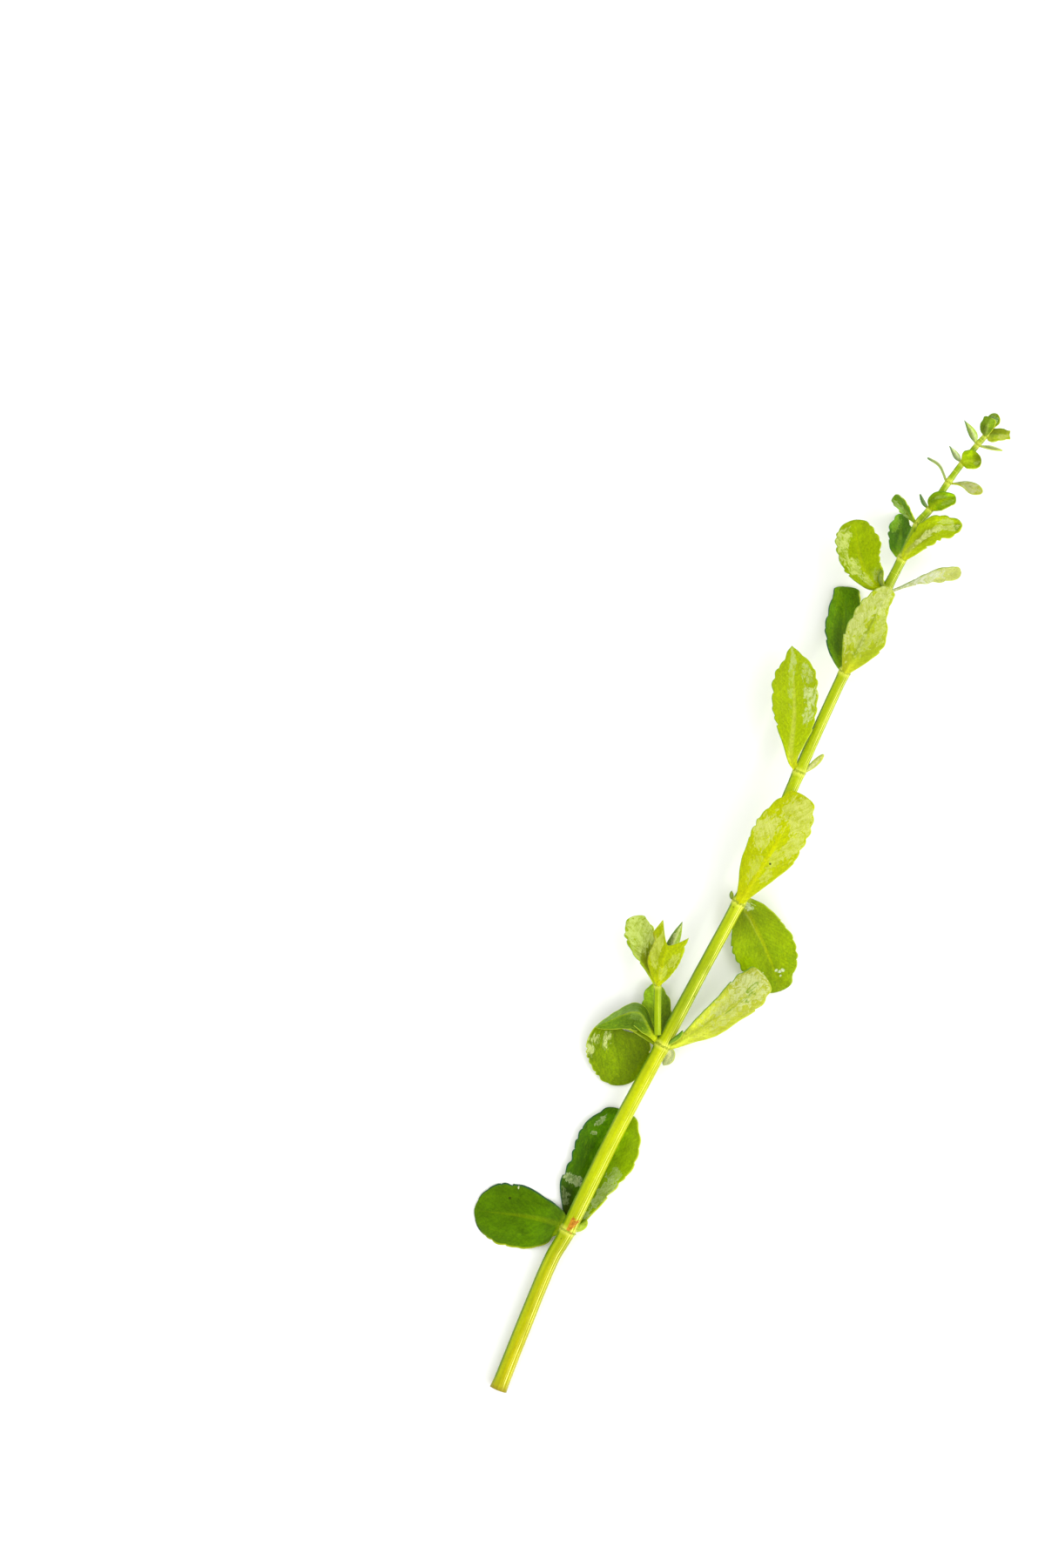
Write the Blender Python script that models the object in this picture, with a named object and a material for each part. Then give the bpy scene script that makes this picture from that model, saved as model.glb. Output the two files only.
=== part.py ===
"""A cut stem of water hyssop, lying on a flat surface with its leaves resting where they touch it.

The stem runs mostly along +Y and +Z is up. Tables are in millimetres and degrees. The first table is
measured from the middle of the cut end; a leaf's path is measured from the knot that it grows on.
"""

import math

import bmesh
import bpy
import numpy as np

MM = 0.001
PLAN_CENTRE = (50.0, 100.4)  # middle of the whole sprig in plan, which becomes the origin
STEM_SIDES = 10
CLEAR_GAP = 0.36  # clear space between a leaf's base and the stem
KNOT_SWELL = 0.10  # how much thicker the stem is at a knot
KNOT_REACH = 1.3  # how far along the stem a knot's swelling runs
LEAF_THICKNESS = 0.62
EDGE_THICKNESS = 0.5  # thickness at the margin, as a share of the middle's
TOOTH_DEPTH = 0.3
STALK_WIDTH = 0.17  # width of the stalk, as a share of the blade's
TOOTHED_FROM = 0.36  # share of the length below which the margin is smooth
TOOTH_CREST = 0.64  # where a tooth's crest is, as a share of the tooth

# Stem points: name, x, y, height of the centre, radius. Numbers are knots and letters lie between.
MAIN_STEM = [
    ("cut", -0.1, -0.3, 1.66, 1.7),
    ("a", 9.9, 24.5, 2.45, 1.58),
    (1, 14.3, 32.8, 2.95, 1.62),
    ("b", 24.0, 52.7, 3.95, 1.68),
    (2, 33.9, 71.3, 5.0, 1.55),
    ("c", 42.0, 86.6, 5.8, 1.4),
    (3, 49.6, 100.8, 6.6, 1.36),
    ("d", 56.1, 114.1, 7.2, 1.3),
    (4, 62.0, 127.8, 7.8, 1.27),
    ("e", 66.8, 138.6, 8.4, 1.2),
    (5, 71.3, 148.3, 8.9, 1.16),
    ("f", 75.6, 156.9, 9.3, 1.1),
    (6, 79.8, 165.2, 9.6, 1.06),
    (7, 83.1, 171.7, 9.9, 0.96),
    (8, 86.3, 178.7, 10.1, 0.82),
    (9, 88.8, 181.8, 10.2, 0.72),
    (10, 92.6, 187.4, 10.3, 0.68),
    (11, 95.5, 191.3, 10.3, 0.58),
    (12, 98.6, 195.1, 10.3, 0.5),
    (13, 100.2, 196.9, 10.3, 0.45),
    ("apex", 101.3, 198.3, 10.3, 0.38),
]
SIDE_SHOOT = [
    ("root", 32.85, 73.5, 6.7, 0.72),
    ("g", 32.8, 78.0, 6.9, 0.78),
    ("shoot", 32.85, 83.9, 7.5, 0.72),
    ("bud", 32.95, 85.3, 7.65, 0.5),
]

# A leaf: the knot it grows on, the angle round the stem (0 right, 90 up, 180 left, 270 under), its path
# as points from the knot, its width, and how its blade turns. turn is 0 where the upper face looks up
# and 180 where the under face does. left and right lift each half of the blade off flat towards its
# upper face and curl bends them further towards the margin. widest is where along the leaf it is widest,
# stalk is the share of it that is plain stalk, and waist sets how the blade widens (1 evenly, 3 late).
# left_edge and right_edge widen or narrow that side at five even steps from base to tip, as seen from
# the upper face with the tip ahead.
LEAVES = {
    "leaf_1_left": dict(knot=1, around=186, path=[(-3.0, 1.5, -1.9), (-9.4, 2.8, -2.7), (-19.4, 3.9, -2.7)],
                        width=13.8, waist=0.8, teeth=5, tone="dark"),
    "leaf_1_under": dict(knot=1, around=268, path=[(1.4, 2.6, -2.4), (6.9, 13.2, -2.6), (11.6, 24.8, -2.6)],
                         width=13.0, widest=0.68, teeth=6, tone="dark", left=4, right=4, curl=10,
                         left_edge=(1.0, 1.4, 1.06, 1.0, 1.0), right_edge=(1.0, 0.84, 0.92, 1.0, 1.0)),
    "leaf_1_small": dict(knot=1, around=335, path=[(3.2, 0.8, -1.2), (4.0, 2.0, -1.2)],
                         width=1.5, tone="mid"),
    "leaf_2_right": dict(knot=2, around=8, path=[(4.7, 1.2, 0.7), (12.6, 7.2, 1.9), (21.2, 14.3, 2.0)],
                         width=7.9, widest=0.76, waist=1.4, teeth=5, tone="pale", turn=184, left=-4, right=10,
                         curl=14),
    "leaf_2_ridged": dict(knot=2, around=165, path=[(-2.6, 3.4, 1.5), (-5.7, 7.0, 2.3), (-13.8, 3.8, 0.2)],
                          width=9.2, tone="dark", left=-34, right=-66, waist=1.2,
                          right_edge=(1.0, 1.0, 0.95, 0.75, 1.0)),
    "leaf_2_drooping": dict(knot=2, around=212, path=[(-5.0, 3.2, -1.9), (-8.4, 4.5, -2.3), (-9.8, 2.9, -2.6),
                                                      (-9.2, -2.0, -3.4), (-8.2, -8.6, -4.7)],
                            width=12.2, stalk=0.44, widest=0.7, waist=0.42, teeth=4, tone="dark",
                            left=4, right=4),
    "leaf_2_behind": dict(knot=2, around=255, path=[(-0.9, 6.3, -2.7), (-1.8, 12.6, -2.9)],
                          width=6.2, teeth=3, tone="dark"),
    "leaf_2_low": dict(knot=2, around=300, path=[(1.5, -2.2, -2.0), (-0.4, -4.2, -2.7)],
                       width=2.3, tone="pale", turn=180),
    "leaf_2_axil": dict(knot=2, around=60, path=[(3.3, 1.9, 1.9), (4.2, 3.1, 2.0)],
                        width=1.0, tone="mid"),
    "shoot_leaf_left": dict(knot="shoot", around=180, path=[(-2.8, 6.0, 0.3), (-4.9, 14.2, 0.4)],
                            width=6.2, widest=0.7, waist=1.4, teeth=4, tone="pale", left=5, right=5),
    "shoot_leaf_forked": dict(knot="shoot", around=80, path=[(1.0, 4.8, 2.6), (2.0, 8.2, 3.7)],
                              width=6.8, tone="mid", turn=180, left=14, right=14, fork=3.4),
    "shoot_leaf_back": dict(knot="shoot", around=290, path=[(2.3, 6.3, -0.6), (5.0, 12.6, 0.3)],
                            width=2.6, tone="dark", turn=30),
    "leaf_3_front": dict(knot=3, around=84, path=[(1.9, 3.0, 2.3), (6.9, 11.2, 4.0), (13.0, 22.3, 4.6)],
                         width=10.9, teeth=6, tone="pale", turn=180, left=5, right=5),
    "leaf_3_back": dict(knot=3, around=295, path=[(1.7, -1.8, -2.0), (5.4, -8.8, -4.5), (9.3, -18.4, -6.3)],
                        width=11.7, teeth=6, tone="mid", left=4, right=4),
    "leaf_3_axil": dict(knot=3, around=196, path=[(-1.6, 2.4, 0.0), (-0.3, 4.6, 0.2)],
                        width=0.9, tone="mid"),
    "leaf_4_left": dict(knot=4, around=148, path=[(-1.9, 3.4, 2.2), (-1.1, 12.6, 1.7), (-1.4, 26.0, -1.0)],
                        width=9.4, widest=0.53, waist=1.5, teeth=7, tone="mid", turn=4, left=3, right=8,
                        left_edge=(1.0, 0.8, 1.0, 0.92, 0.8)),
    "leaf_4_small": dict(knot=4, around=345, path=[(3.3, 1.8, 0.2), (5.1, 3.6, 0.5)],
                         width=1.4, tone="pale", turn=180),
    "leaf_5_front": dict(knot=5, around=82, path=[(1.4, 2.4, 2.0), (4.7, 8.8, 3.4), (9.1, 17.2, 4.0)],
                         width=8.7, widest=0.44, teeth=5, tone="pale", turn=180, left=7, right=7,
                         left_edge=(1.0, 1.0, 0.98, 0.6, 1.5), right_edge=(1.0, 0.9, 1.0, 1.0, 1.0)),
    "leaf_5_back": dict(knot=5, around=262, path=[(-0.6, 2.6, -2.1), (0.1, 9.0, -5.4), (0.7, 18.0, -8.6)],
                        width=7.6, teeth=5, tone="dark", left=4, right=4),
    "leaf_6_left": dict(knot=6, around=165, path=[(-3.4, 2.0, 0.6), (-5.5, 7.0, 1.0), (-6.4, 14.5, 0.4)],
                        width=9.0, teeth=6, tone="mid", turn=-4, left=6, right=4),
    "leaf_6_right": dict(knot=6, around=0, path=[(6.5, 1.3, 0.2), (11.0, 2.7, 0.1), (15.6, 3.6, -0.8)],
                         width=3.4, widest=0.8, waist=3.0, teeth=3, tone="pale", turn=200),
    "leaf_6_axil": dict(knot=6, around=120, path=[(-1.2, 2.2, 1.8), (-0.8, 4.1, 2.0)],
                        width=1.2, tone="mid"),
    "leaf_7_front": dict(knot=7, around=80, path=[(1.8, 2.2, 1.8), (6.1, 5.6, 2.8), (10.2, 6.6, 3.2),
                                                  (12.0, 6.7, 4.4)],
                         width=5.4, teeth=4, tone="pale", turn=180, left=8, right=8),
    "leaf_7_back": dict(knot=7, around=258, path=[(-0.6, 1.7, -2.2), (0.1, 5.2, -5.6), (0.6, 9.7, -9.65)],
                        width=4.9, teeth=3, tone="dark", left=4, right=4),
    "leaf_8_left": dict(knot=8, around=175, path=[(-2.5, 3.2, 0.7), (-4.7, 6.1, 1.0)],
                        width=3.6, teeth=3, tone="mid", turn=-56, left=14, right=14),
    "leaf_9_front": dict(knot=9, around=84, path=[(1.6, 1.5, 1.4), (5.2, 2.5, 1.6)],
                         width=3.8, widest=0.5, tone="mid", turn=10, left=8, right=8),
    "leaf_9_back": dict(knot=9, around=215, path=[(-1.5, 1.6, -0.5), (-1.9, 3.1, -0.7)],
                        width=2.0, tone="dark", turn=70),
    "leaf_10_left": dict(knot=10, around=165, path=[(-1.9, 3.4, 0.5), (-4.4, 5.0, 0.6)],
                         width=2.3, tone="pale", turn=72),
    "leaf_10_right": dict(knot=10, around=355, path=[(3.3, -0.7, 0.0), (7.1, -2.2, -0.4)],
                          width=2.2, tone="pale", turn=180, waist=1.8),
    "leaf_11_front": dict(knot=11, around=92, path=[(0.9, 0.2, 1.3), (3.7, 0.7, 1.9)],
                          width=3.9, widest=0.5, tone="mid", turn=180, left=10, right=10),
    "leaf_11_back": dict(knot=11, around=205, path=[(-1.6, 1.9, -0.2), (-2.6, 3.3, -0.2)],
                         width=1.6, tone="dark", turn=30),
    "leaf_12_left": dict(knot=12, around=165, path=[(-1.3, 2.5, 0.5), (-2.6, 4.7, 0.6)],
                         width=1.6, tone="mid", turn=20),
    "leaf_12_right": dict(knot=12, around=345, path=[(2.7, -0.8, -0.1), (5.2, -1.2, -0.2)],
                          width=1.3, tone="pale", turn=130),
    "leaf_13_front": dict(knot=13, around=110, path=[(0.3, 2.0, 1.4), (1.0, 3.6, 2.1)],
                          width=3.2, tone="mid", turn=180, left=16, right=16),
    "leaf_13_back": dict(knot="apex", around=285, path=[(0.5, 1.4, -0.9), (1.2, 3.3, -0.5)],
                         width=2.9, tone="mid", left=14, right=14),
    "leaf_13_right": dict(knot=13, around=345, path=[(2.6, 0.3, 0.1), (5.0, 0.2, 0.2)],
                          width=2.5, tone="mid", turn=180, left=14, right=14),
}
BUD = dict(centre=(102.2, 199.9, 10.9), length=1.9, width=1.0, sides=8)

# Colours by tone, as linear red, green and blue, and how rough the surface looks.
TONES = {
    "dark": ((0.06, 0.20, 0.004), 0.34),
    "mid": ((0.26, 0.44, 0.006), 0.32),
    "pale": ((0.46, 0.62, 0.05), 0.30),
    "stem": ((0.58, 0.70, 0.004), 0.30),
}


def clear_scene():
    for thing in list(bpy.data.objects):
        bpy.data.objects.remove(thing, do_unlink=True)


def make_material(tone):
    colour, roughness = TONES[tone]
    material = bpy.data.materials.new("water hyssop " + tone)
    material.use_nodes = True
    shader = material.node_tree.nodes["Principled BSDF"]
    shader.inputs["Base Color"].default_value = (*colour, 1.0)
    shader.inputs["Roughness"].default_value = roughness
    shader.inputs["Metallic"].default_value = 0.0
    return material


def unit(vectors):
    return vectors / np.maximum(np.linalg.norm(vectors, axis=-1, keepdims=True), 1e-9)


def curve_at(points, shares, steps=24):
    """Places and directions on a smooth curve through the points, at shares of its length."""
    points = np.array(points, float)
    padded = np.vstack([2 * points[0] - points[1], points, 2 * points[-1] - points[-2]])
    t = np.linspace(0, 1, steps, endpoint=False)[:, None]
    runs = []
    for a, b, c, d in zip(padded, padded[1:], padded[2:], padded[3:]):
        runs.append(0.5 * (2 * b + (c - a) * t + (2 * a - 5 * b + 4 * c - d) * t**2
                           + (3 * b - a - 3 * c + d) * t**3))
    dense = np.vstack(runs + [points[-1:]])
    length = np.concatenate([[0], np.cumsum(np.linalg.norm(np.diff(dense, axis=0), axis=1))])
    at = np.array(shares) * length[-1]
    place = np.stack([np.interp(at, length, dense[:, k]) for k in range(dense.shape[1])], axis=1)
    slope = unit(np.gradient(dense[:, :3], axis=0))
    direction = unit(np.stack([np.interp(at, length, slope[:, k]) for k in range(3)], axis=1))
    return place, direction, length[-1]


def stem_at_knot(knot):
    """Place, direction and radius of the stem at a knot."""
    table = SIDE_SHOOT if any(row[0] == knot for row in SIDE_SHOOT) else MAIN_STEM
    names = [row[0] for row in table]
    index = names.index(knot)
    places = np.array([row[1:4] for row in table])
    before, after = places[max(index - 1, 0)], places[min(index + 1, len(table) - 1)]
    return places[index], unit(after - before), table[index][4]


def leaf_thickness(leaf):
    return LEAF_THICKNESS * min(1.0, 0.45 + leaf["width"] / 10)


def blade_outline(share, leaf):
    """Half width of a blade at each share of its length, as a share of its largest half width."""
    widest, stalk = leaf.get("widest", 0.58), leaf.get("stalk", 0.0)
    blade = np.clip((share - stalk) / (widest - stalk), 0, 1)
    rising = STALK_WIDTH + (1 - STALK_WIDTH) * np.sin(blade * math.pi / 2) ** leaf.get("waist", 1.1)
    falling = np.sqrt(np.clip(1 - (np.clip(share - widest, 0, 1) / (1 - widest)) ** 2, 0.04, 1))
    return np.where(share < widest, rising, falling)


def edge_reach(leaf, reach, shares):
    """How far one side's margin stands out, as a share of the even outline, at shares of the length."""
    steps = leaf.get("left_edge" if reach > 0 else "right_edge", (1.0, 1.0, 1.0, 1.0, 1.0))
    return np.interp(shares, np.linspace(0, 1, len(steps)), steps)


def tooth_height(share, teeth):
    """0 in the notches between teeth and 1 on their crests, which lean towards the tip."""
    along = np.clip((share - TOOTHED_FROM) / (1 - TOOTHED_FROM), 0, 1) * teeth
    lean = math.log(0.5) / math.log(TOOTH_CREST)
    return np.where(share < TOOTHED_FROM, 1.0, np.sin(math.pi * (along % 1.0) ** lean))


def leaf_shares(teeth):
    """Shares of the length that get a row of points: a few on the stalk, then each notch and crest."""
    if not teeth:
        return np.array([0, 0.12, 0.28, 0.46, 0.64, 0.8, 0.92, 1.0])
    shares = [0, 0.1, 0.22, TOOTHED_FROM]
    for tooth in range(teeth):
        for part in (TOOTH_CREST, 1.0):
            shares.append(TOOTHED_FROM + (1 - TOOTHED_FROM) * (tooth + part) / teeth)
    return np.array(shares)


def bent_half(across, lift, curl):
    """Sideways and upward reach of a point across a half blade that is lifted and curled."""
    lift, curl = math.radians(lift), math.radians(curl) or 1e-4
    side = (np.sin(lift + curl * across) - math.sin(lift)) / curl
    up = (math.cos(lift) - np.cos(lift + curl * across)) / curl
    return side, up


def blade_grid(leaf, shares, columns):
    """Points on the blade's middle surface and its upward directions, row by row from the stalk."""
    knot, axis, radius = stem_at_knot(leaf["knot"])
    level = unit(np.cross(axis, (0, 0, 1)))
    round_stem = math.radians(leaf["around"])
    out = math.cos(round_stem) * level + math.sin(round_stem) * np.cross(level, axis)
    base = knot + out * (radius * (1 + KNOT_SWELL) + CLEAR_GAP + leaf_thickness(leaf) / 2)
    path = [base] + [knot + np.array(step) for step in leaf["path"]]
    place, along, _ = curve_at(path, shares)
    chord = (path[-1] - base) * (1, 1, 0)
    plan = unit(along * (1, 1, 0) + 0.25 * unit(chord))
    side = unit(np.cross((0, 0, 1), plan))
    up = unit(np.cross(along, side))
    side = np.cross(up, along)
    turn = math.radians(leaf.get("turn", 0))
    side, up = math.cos(turn) * side + math.sin(turn) * up, math.cos(turn) * up - math.sin(turn) * side
    half = leaf["width"] / 2 * blade_outline(shares, leaf)
    across = np.linspace(-1, 1, columns)
    toothed = np.abs(across) ** 6
    teeth = leaf.get("teeth", 0)
    notch = TOOTH_DEPTH * (1 - tooth_height(shares, teeth)) if teeth else 0 * shares
    if leaf.get("fork"):
        half = np.maximum(half, leaf["width"] * 0.36 * np.clip(shares * 1.8 - 0.6, 0, 1))
    settle = np.clip(shares * 3, 0, 1)
    grid = np.zeros((len(shares), columns, 3))
    for column, reach in enumerate(across):
        lift = leaf.get("left" if reach > 0 else "right", 0)
        flat_side, flat_up = bent_half(abs(reach), lift, leaf.get("curl", 0))
        wide = half * edge_reach(leaf, reach, shares)
        sideways = np.sign(reach) * (wide * flat_side - notch * toothed[column])
        grid[:, column] = place + side * sideways[:, None] + up * (wide * settle * flat_up)[:, None]
        grid[:, column] += along * (leaf.get("fork", 0) * abs(reach) ** 1.5 * shares**3)[:, None]
    return grid, up


def blade_solid(leaf):
    """Points and faces of a leaf: an upper and an under face joined round the rim."""
    teeth = leaf.get("teeth", 0)
    columns = 5 if leaf["width"] > 3.0 else 3
    shares = leaf_shares(teeth)
    grid, up = blade_grid(leaf, shares, columns)
    thick = leaf_thickness(leaf)
    across = np.abs(np.linspace(-1, 1, columns))
    half = thick / 2 * (1 - (1 - EDGE_THICKNESS) * across**2)
    lift = up[:, None, :] * half[None, :, None]
    top, under = grid + lift, grid - lift
    under[..., 2] = np.maximum(under[..., 2], 0)
    top[..., 2] = np.maximum(top[..., 2], thick * EDGE_THICKNESS)
    rows = len(shares)
    points = np.concatenate([top.reshape(-1, 3), under.reshape(-1, 3)])
    faces = []
    low = rows * columns
    for row in range(rows - 1):
        for column in range(columns - 1):
            a = row * columns + column
            b, c, d = a + 1, a + columns + 1, a + columns
            faces.append((a, d, c, b))
            faces.append((low + a, low + b, low + c, low + d))
    ring = [column for column in range(columns)]
    ring += [row * columns + columns - 1 for row in range(1, rows)]
    ring += [(rows - 1) * columns + column for column in range(columns - 2, -1, -1)]
    ring += [row * columns for row in range(rows - 2, 0, -1)]
    for a, b in zip(ring, ring[1:] + ring[:1]):
        faces.append((a, b, low + b, low + a))
    return points, faces


def stem_solid(table, spacing):
    """Points and faces of a round stem that swells at its knots, with a flat cut at each end."""
    rows = np.array([row[1:] for row in table])
    _, _, length = curve_at(rows, [0.0])
    count = max(int(length / spacing), 4)
    shares = set(np.linspace(0, 1, count))
    _, _, total = curve_at(rows[:, :3], [0.0])
    knots = [row[1:4] for row in table if isinstance(row[0], int) or row[0] == "shoot"]
    dense, _, _ = curve_at(rows, np.linspace(0, 1, 2000))
    for knot in knots:
        nearest = np.argmin(np.linalg.norm(dense[:, :3] - knot, axis=1)) / 1999
        shares = {share for share in shares if abs(share - nearest) > 1.1 / total}
        shares |= {nearest - 1.0 / total, nearest, nearest + 1.0 / total}
    shares = np.array(sorted(share for share in shares if 0 <= share <= 1))
    place, along, _ = curve_at(rows, shares)
    swell = np.ones(len(shares))
    for knot in knots:
        distance = np.linalg.norm(place[:, :3] - knot, axis=1)
        swell += KNOT_SWELL * np.exp(-((distance / KNOT_REACH) ** 2))
    level = unit(np.cross(along, (0, 0, 1)))
    raised = np.cross(level, along)
    points = []
    for step in range(STEM_SIDES):
        angle = 2 * math.pi * (step + 0.5) / STEM_SIDES
        out = math.cos(angle) * level + math.sin(angle) * raised
        points.append(place[:, :3] + out * (place[:, 3] * swell)[:, None])
    points = np.stack(points, axis=1)
    points[..., 2] = np.maximum(points[..., 2], 0)
    rings = len(shares)
    faces = [tuple(range(STEM_SIDES))[::-1],
             tuple((rings - 1) * STEM_SIDES + step for step in range(STEM_SIDES))]
    for ring in range(rings - 1):
        for step in range(STEM_SIDES):
            a, b = ring * STEM_SIDES + step, ring * STEM_SIDES + (step + 1) % STEM_SIDES
            faces.append((a, b, b + STEM_SIDES, a + STEM_SIDES))
    return points.reshape(-1, 3), faces


def bud_solid():
    """The closed bud in the middle of the youngest leaves, a pointed egg that leans along the stem."""
    sides, length, width = BUD["sides"], BUD["length"], BUD["width"]
    lean = unit(np.array([0.55, 0.8, 0.25]))
    level = unit(np.cross(lean, (0, 0, 1)))
    raised = np.cross(level, lean)
    centre = np.array(BUD["centre"])
    profile = [(-0.5, 0.0), (-0.36, 0.34), (-0.1, 0.5), (0.2, 0.4), (0.42, 0.18), (0.52, 0.0)]
    points = [centre + lean * length * profile[0][0]]
    for along, out in profile[1:-1]:
        for step in range(sides):
            angle = 2 * math.pi * step / sides
            round_way = math.cos(angle) * level + math.sin(angle) * raised
            points.append(centre + lean * length * along + round_way * width * out)
    points.append(centre + lean * length * profile[-1][0])
    rings, faces = len(profile) - 2, []
    for step in range(sides):
        after = (step + 1) % sides
        faces.append((0, 1 + after, 1 + step))
        for ring in range(rings - 1):
            a, b = 1 + ring * sides + step, 1 + ring * sides + after
            faces.append((a, b, b + sides, a + sides))
        last = 1 + (rings - 1) * sides
        faces.append((last + step, last + after, len(points) - 1))
    return np.array(points), faces


def add_object(name, points, faces, material):
    """A closed mesh object in metres, centred over the middle of the sprig, with its faces outwards."""
    points = (points - (*PLAN_CENTRE, 0)) * MM
    mesh = bpy.data.meshes.new(name)
    mesh.from_pydata([tuple(point) for point in points], [], faces)
    shell = bmesh.new()
    shell.from_mesh(mesh)
    bmesh.ops.triangulate(shell, faces=shell.faces)
    bmesh.ops.recalc_face_normals(shell, faces=shell.faces)
    shell.to_mesh(mesh)
    shell.free()
    mesh.materials.append(material)
    mesh.shade_smooth()
    mesh.set_sharp_from_angle(angle=math.radians(50))
    thing = bpy.data.objects.new(name, mesh)
    bpy.context.scene.collection.objects.link(thing)
    return thing


def build():
    clear_scene()
    materials = {tone: make_material(tone) for tone in TONES}
    add_object("main_stem", *stem_solid(MAIN_STEM, 5.5), materials["stem"])
    add_object("side_shoot_stem", *stem_solid(SIDE_SHOOT, 2.5), materials["stem"])
    for name, leaf in LEAVES.items():
        add_object(name, *blade_solid(leaf), materials[leaf["tone"]])
    add_object("tip_bud", *bud_solid(), materials["mid"])


build()
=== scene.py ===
"""A cut stem of water hyssop, lying on a pale surface under soft light and seen from straight above.

The tables at the top are in millimetres and degrees. The first is measured from the middle of the cut
end; a leaf's path is measured from the knot that it grows on. Colours are sRGB hex values.
"""

import math
from types import SimpleNamespace

import bmesh
import bpy
import numpy as np
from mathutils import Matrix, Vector


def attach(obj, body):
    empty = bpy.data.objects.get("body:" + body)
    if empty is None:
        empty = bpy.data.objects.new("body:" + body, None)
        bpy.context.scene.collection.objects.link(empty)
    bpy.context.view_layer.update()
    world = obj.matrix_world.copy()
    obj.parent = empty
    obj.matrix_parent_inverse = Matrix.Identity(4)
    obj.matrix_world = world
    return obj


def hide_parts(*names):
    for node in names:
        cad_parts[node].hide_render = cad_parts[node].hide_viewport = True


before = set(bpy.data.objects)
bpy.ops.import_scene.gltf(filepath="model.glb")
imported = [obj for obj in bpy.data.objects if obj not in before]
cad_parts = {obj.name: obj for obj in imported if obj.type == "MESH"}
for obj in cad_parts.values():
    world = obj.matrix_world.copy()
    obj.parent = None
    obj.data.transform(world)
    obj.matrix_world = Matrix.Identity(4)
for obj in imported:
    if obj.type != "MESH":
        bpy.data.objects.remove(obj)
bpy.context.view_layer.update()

MM = 0.001
PLAN_CENTRE = (50.0, 100.4)  # middle of the whole sprig in plan, which is the origin
KNOT_SWELL = 0.10  # how much thicker the stem is at a knot
KNOT_REACH = 1.3  # how far along the stem a knot's swelling runs
FOOT_FLARE = 0.09  # how much wider the stem is at its cut end
FLARE_REACH = 3.2  # how far along the stem that flare runs
PATH_STEP = 0.35  # distance between points along a stem
SCAR_FROM = 36.1  # where along the stem the scar above the lowest knot starts
LEAF_STARTS = 0.75  # how far from the stem's middle a leaf starts, as a share of the stem's radius
LEAF_THICKNESS = 0.62
EDGE_THICKNESS = 0.4  # thickness near the margin, as a share of the middle's
RIM_THICKNESS = 0.02  # half thickness at the very margin
LEAST_HEIGHT = 0.16  # how low the higher face of a leaf can lie
STALK_WIDTH = 0.17  # width of the stalk, as a share of the blade's
TOOTHED_FROM = 0.36  # share of the length below which the margin is smooth
TOOTH_DEPTH = 0.35
TOOTH_CREST = 0.64  # where a tooth's crest is, as a share of the tooth
RAGGED = 0.10  # how far the margin wanders on a leaf 12 mm wide
SWAY = 0.014  # how far the blade waves up and down, as a share of its width
RIB_GROOVE = 0.10  # how deep the midrib's groove is on the upper face
RIB_KEEL = 0.20  # how far the midrib stands out on the under face
SIDE_VEINS = (0.34, 0.66)  # where the side veins run, as shares of the half width
VEIN_WIDTH = 0.22
VEIN_GROOVE = 0.035  # how deep a side vein lies on the upper face
VEIN_KEEL = 0.05  # how far a side vein stands out on the under face
BIG_LEAF = 4.5  # leaves wider than this have the finer blade
FINE_BLADE, SMALL_BLADE = (141, 37), (61, 21)  # points along and across a blade
LIT_FROM = np.array([0.85, -0.5, 0.15])  # the side that the light comes from
DOT_EDGE = 0.06  # how soft the edge of a small dark dot is
WET_ROUGHNESS = 0.2  # roughness under the film
SAP_TINT = (1.0, 1.0, 0.3, 1.0)  # the yellow that the skin's shine takes from the sap
HEALED_GREEN, DIRT_BROWN, SPECK_GREEN = "#6F8E16", "#2A3408", "#3E5A10"
LIT_RIM = "#C3D236"  # painted light on the margin on the lit side
HIDDEN_FACE = {"upper": "#A9BE4A", "under": "#5E8A12"}  # the face turned down, by the face that is seen

# Stem points: name, x, y, height of the centre, radius. Numbers are knots and letters lie between.
MAIN_STEM = [
    ("cut", -0.1, -0.3, 1.95, 1.7),
    ("a", 9.9, 24.5, 2.45, 1.58),
    (1, 14.3, 32.8, 2.95, 1.62),
    ("b", 24.0, 52.7, 3.95, 1.68),
    (2, 33.9, 71.3, 5.0, 1.55),
    ("c", 42.0, 86.6, 5.8, 1.4),
    (3, 49.6, 100.8, 6.6, 1.36),
    ("d", 56.1, 114.1, 7.2, 1.3),
    (4, 62.0, 127.8, 7.8, 1.27),
    ("e", 66.8, 138.6, 8.4, 1.2),
    (5, 71.3, 148.3, 8.9, 1.16),
    ("f", 75.6, 156.9, 9.3, 1.1),
    (6, 79.8, 165.2, 9.6, 1.06),
    (7, 83.1, 171.7, 9.9, 0.96),
    (8, 86.3, 178.7, 10.1, 0.82),
    (9, 88.8, 181.8, 10.2, 0.72),
    (10, 92.6, 187.4, 10.3, 0.68),
    (11, 95.5, 191.3, 10.3, 0.62),
    (12, 98.6, 195.1, 10.3, 0.6),
    (13, 100.2, 196.9, 10.3, 0.54),
    ("apex", 101.3, 198.3, 10.3, 0.38),
]
SIDE_SHOOT = [
    ("root", 32.85, 73.5, 6.7, 0.72),
    ("g", 32.8, 78.0, 6.9, 0.78),
    ("shoot", 32.85, 83.9, 7.5, 0.72),
    ("bud", 32.95, 85.3, 7.65, 0.5),
]

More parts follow.
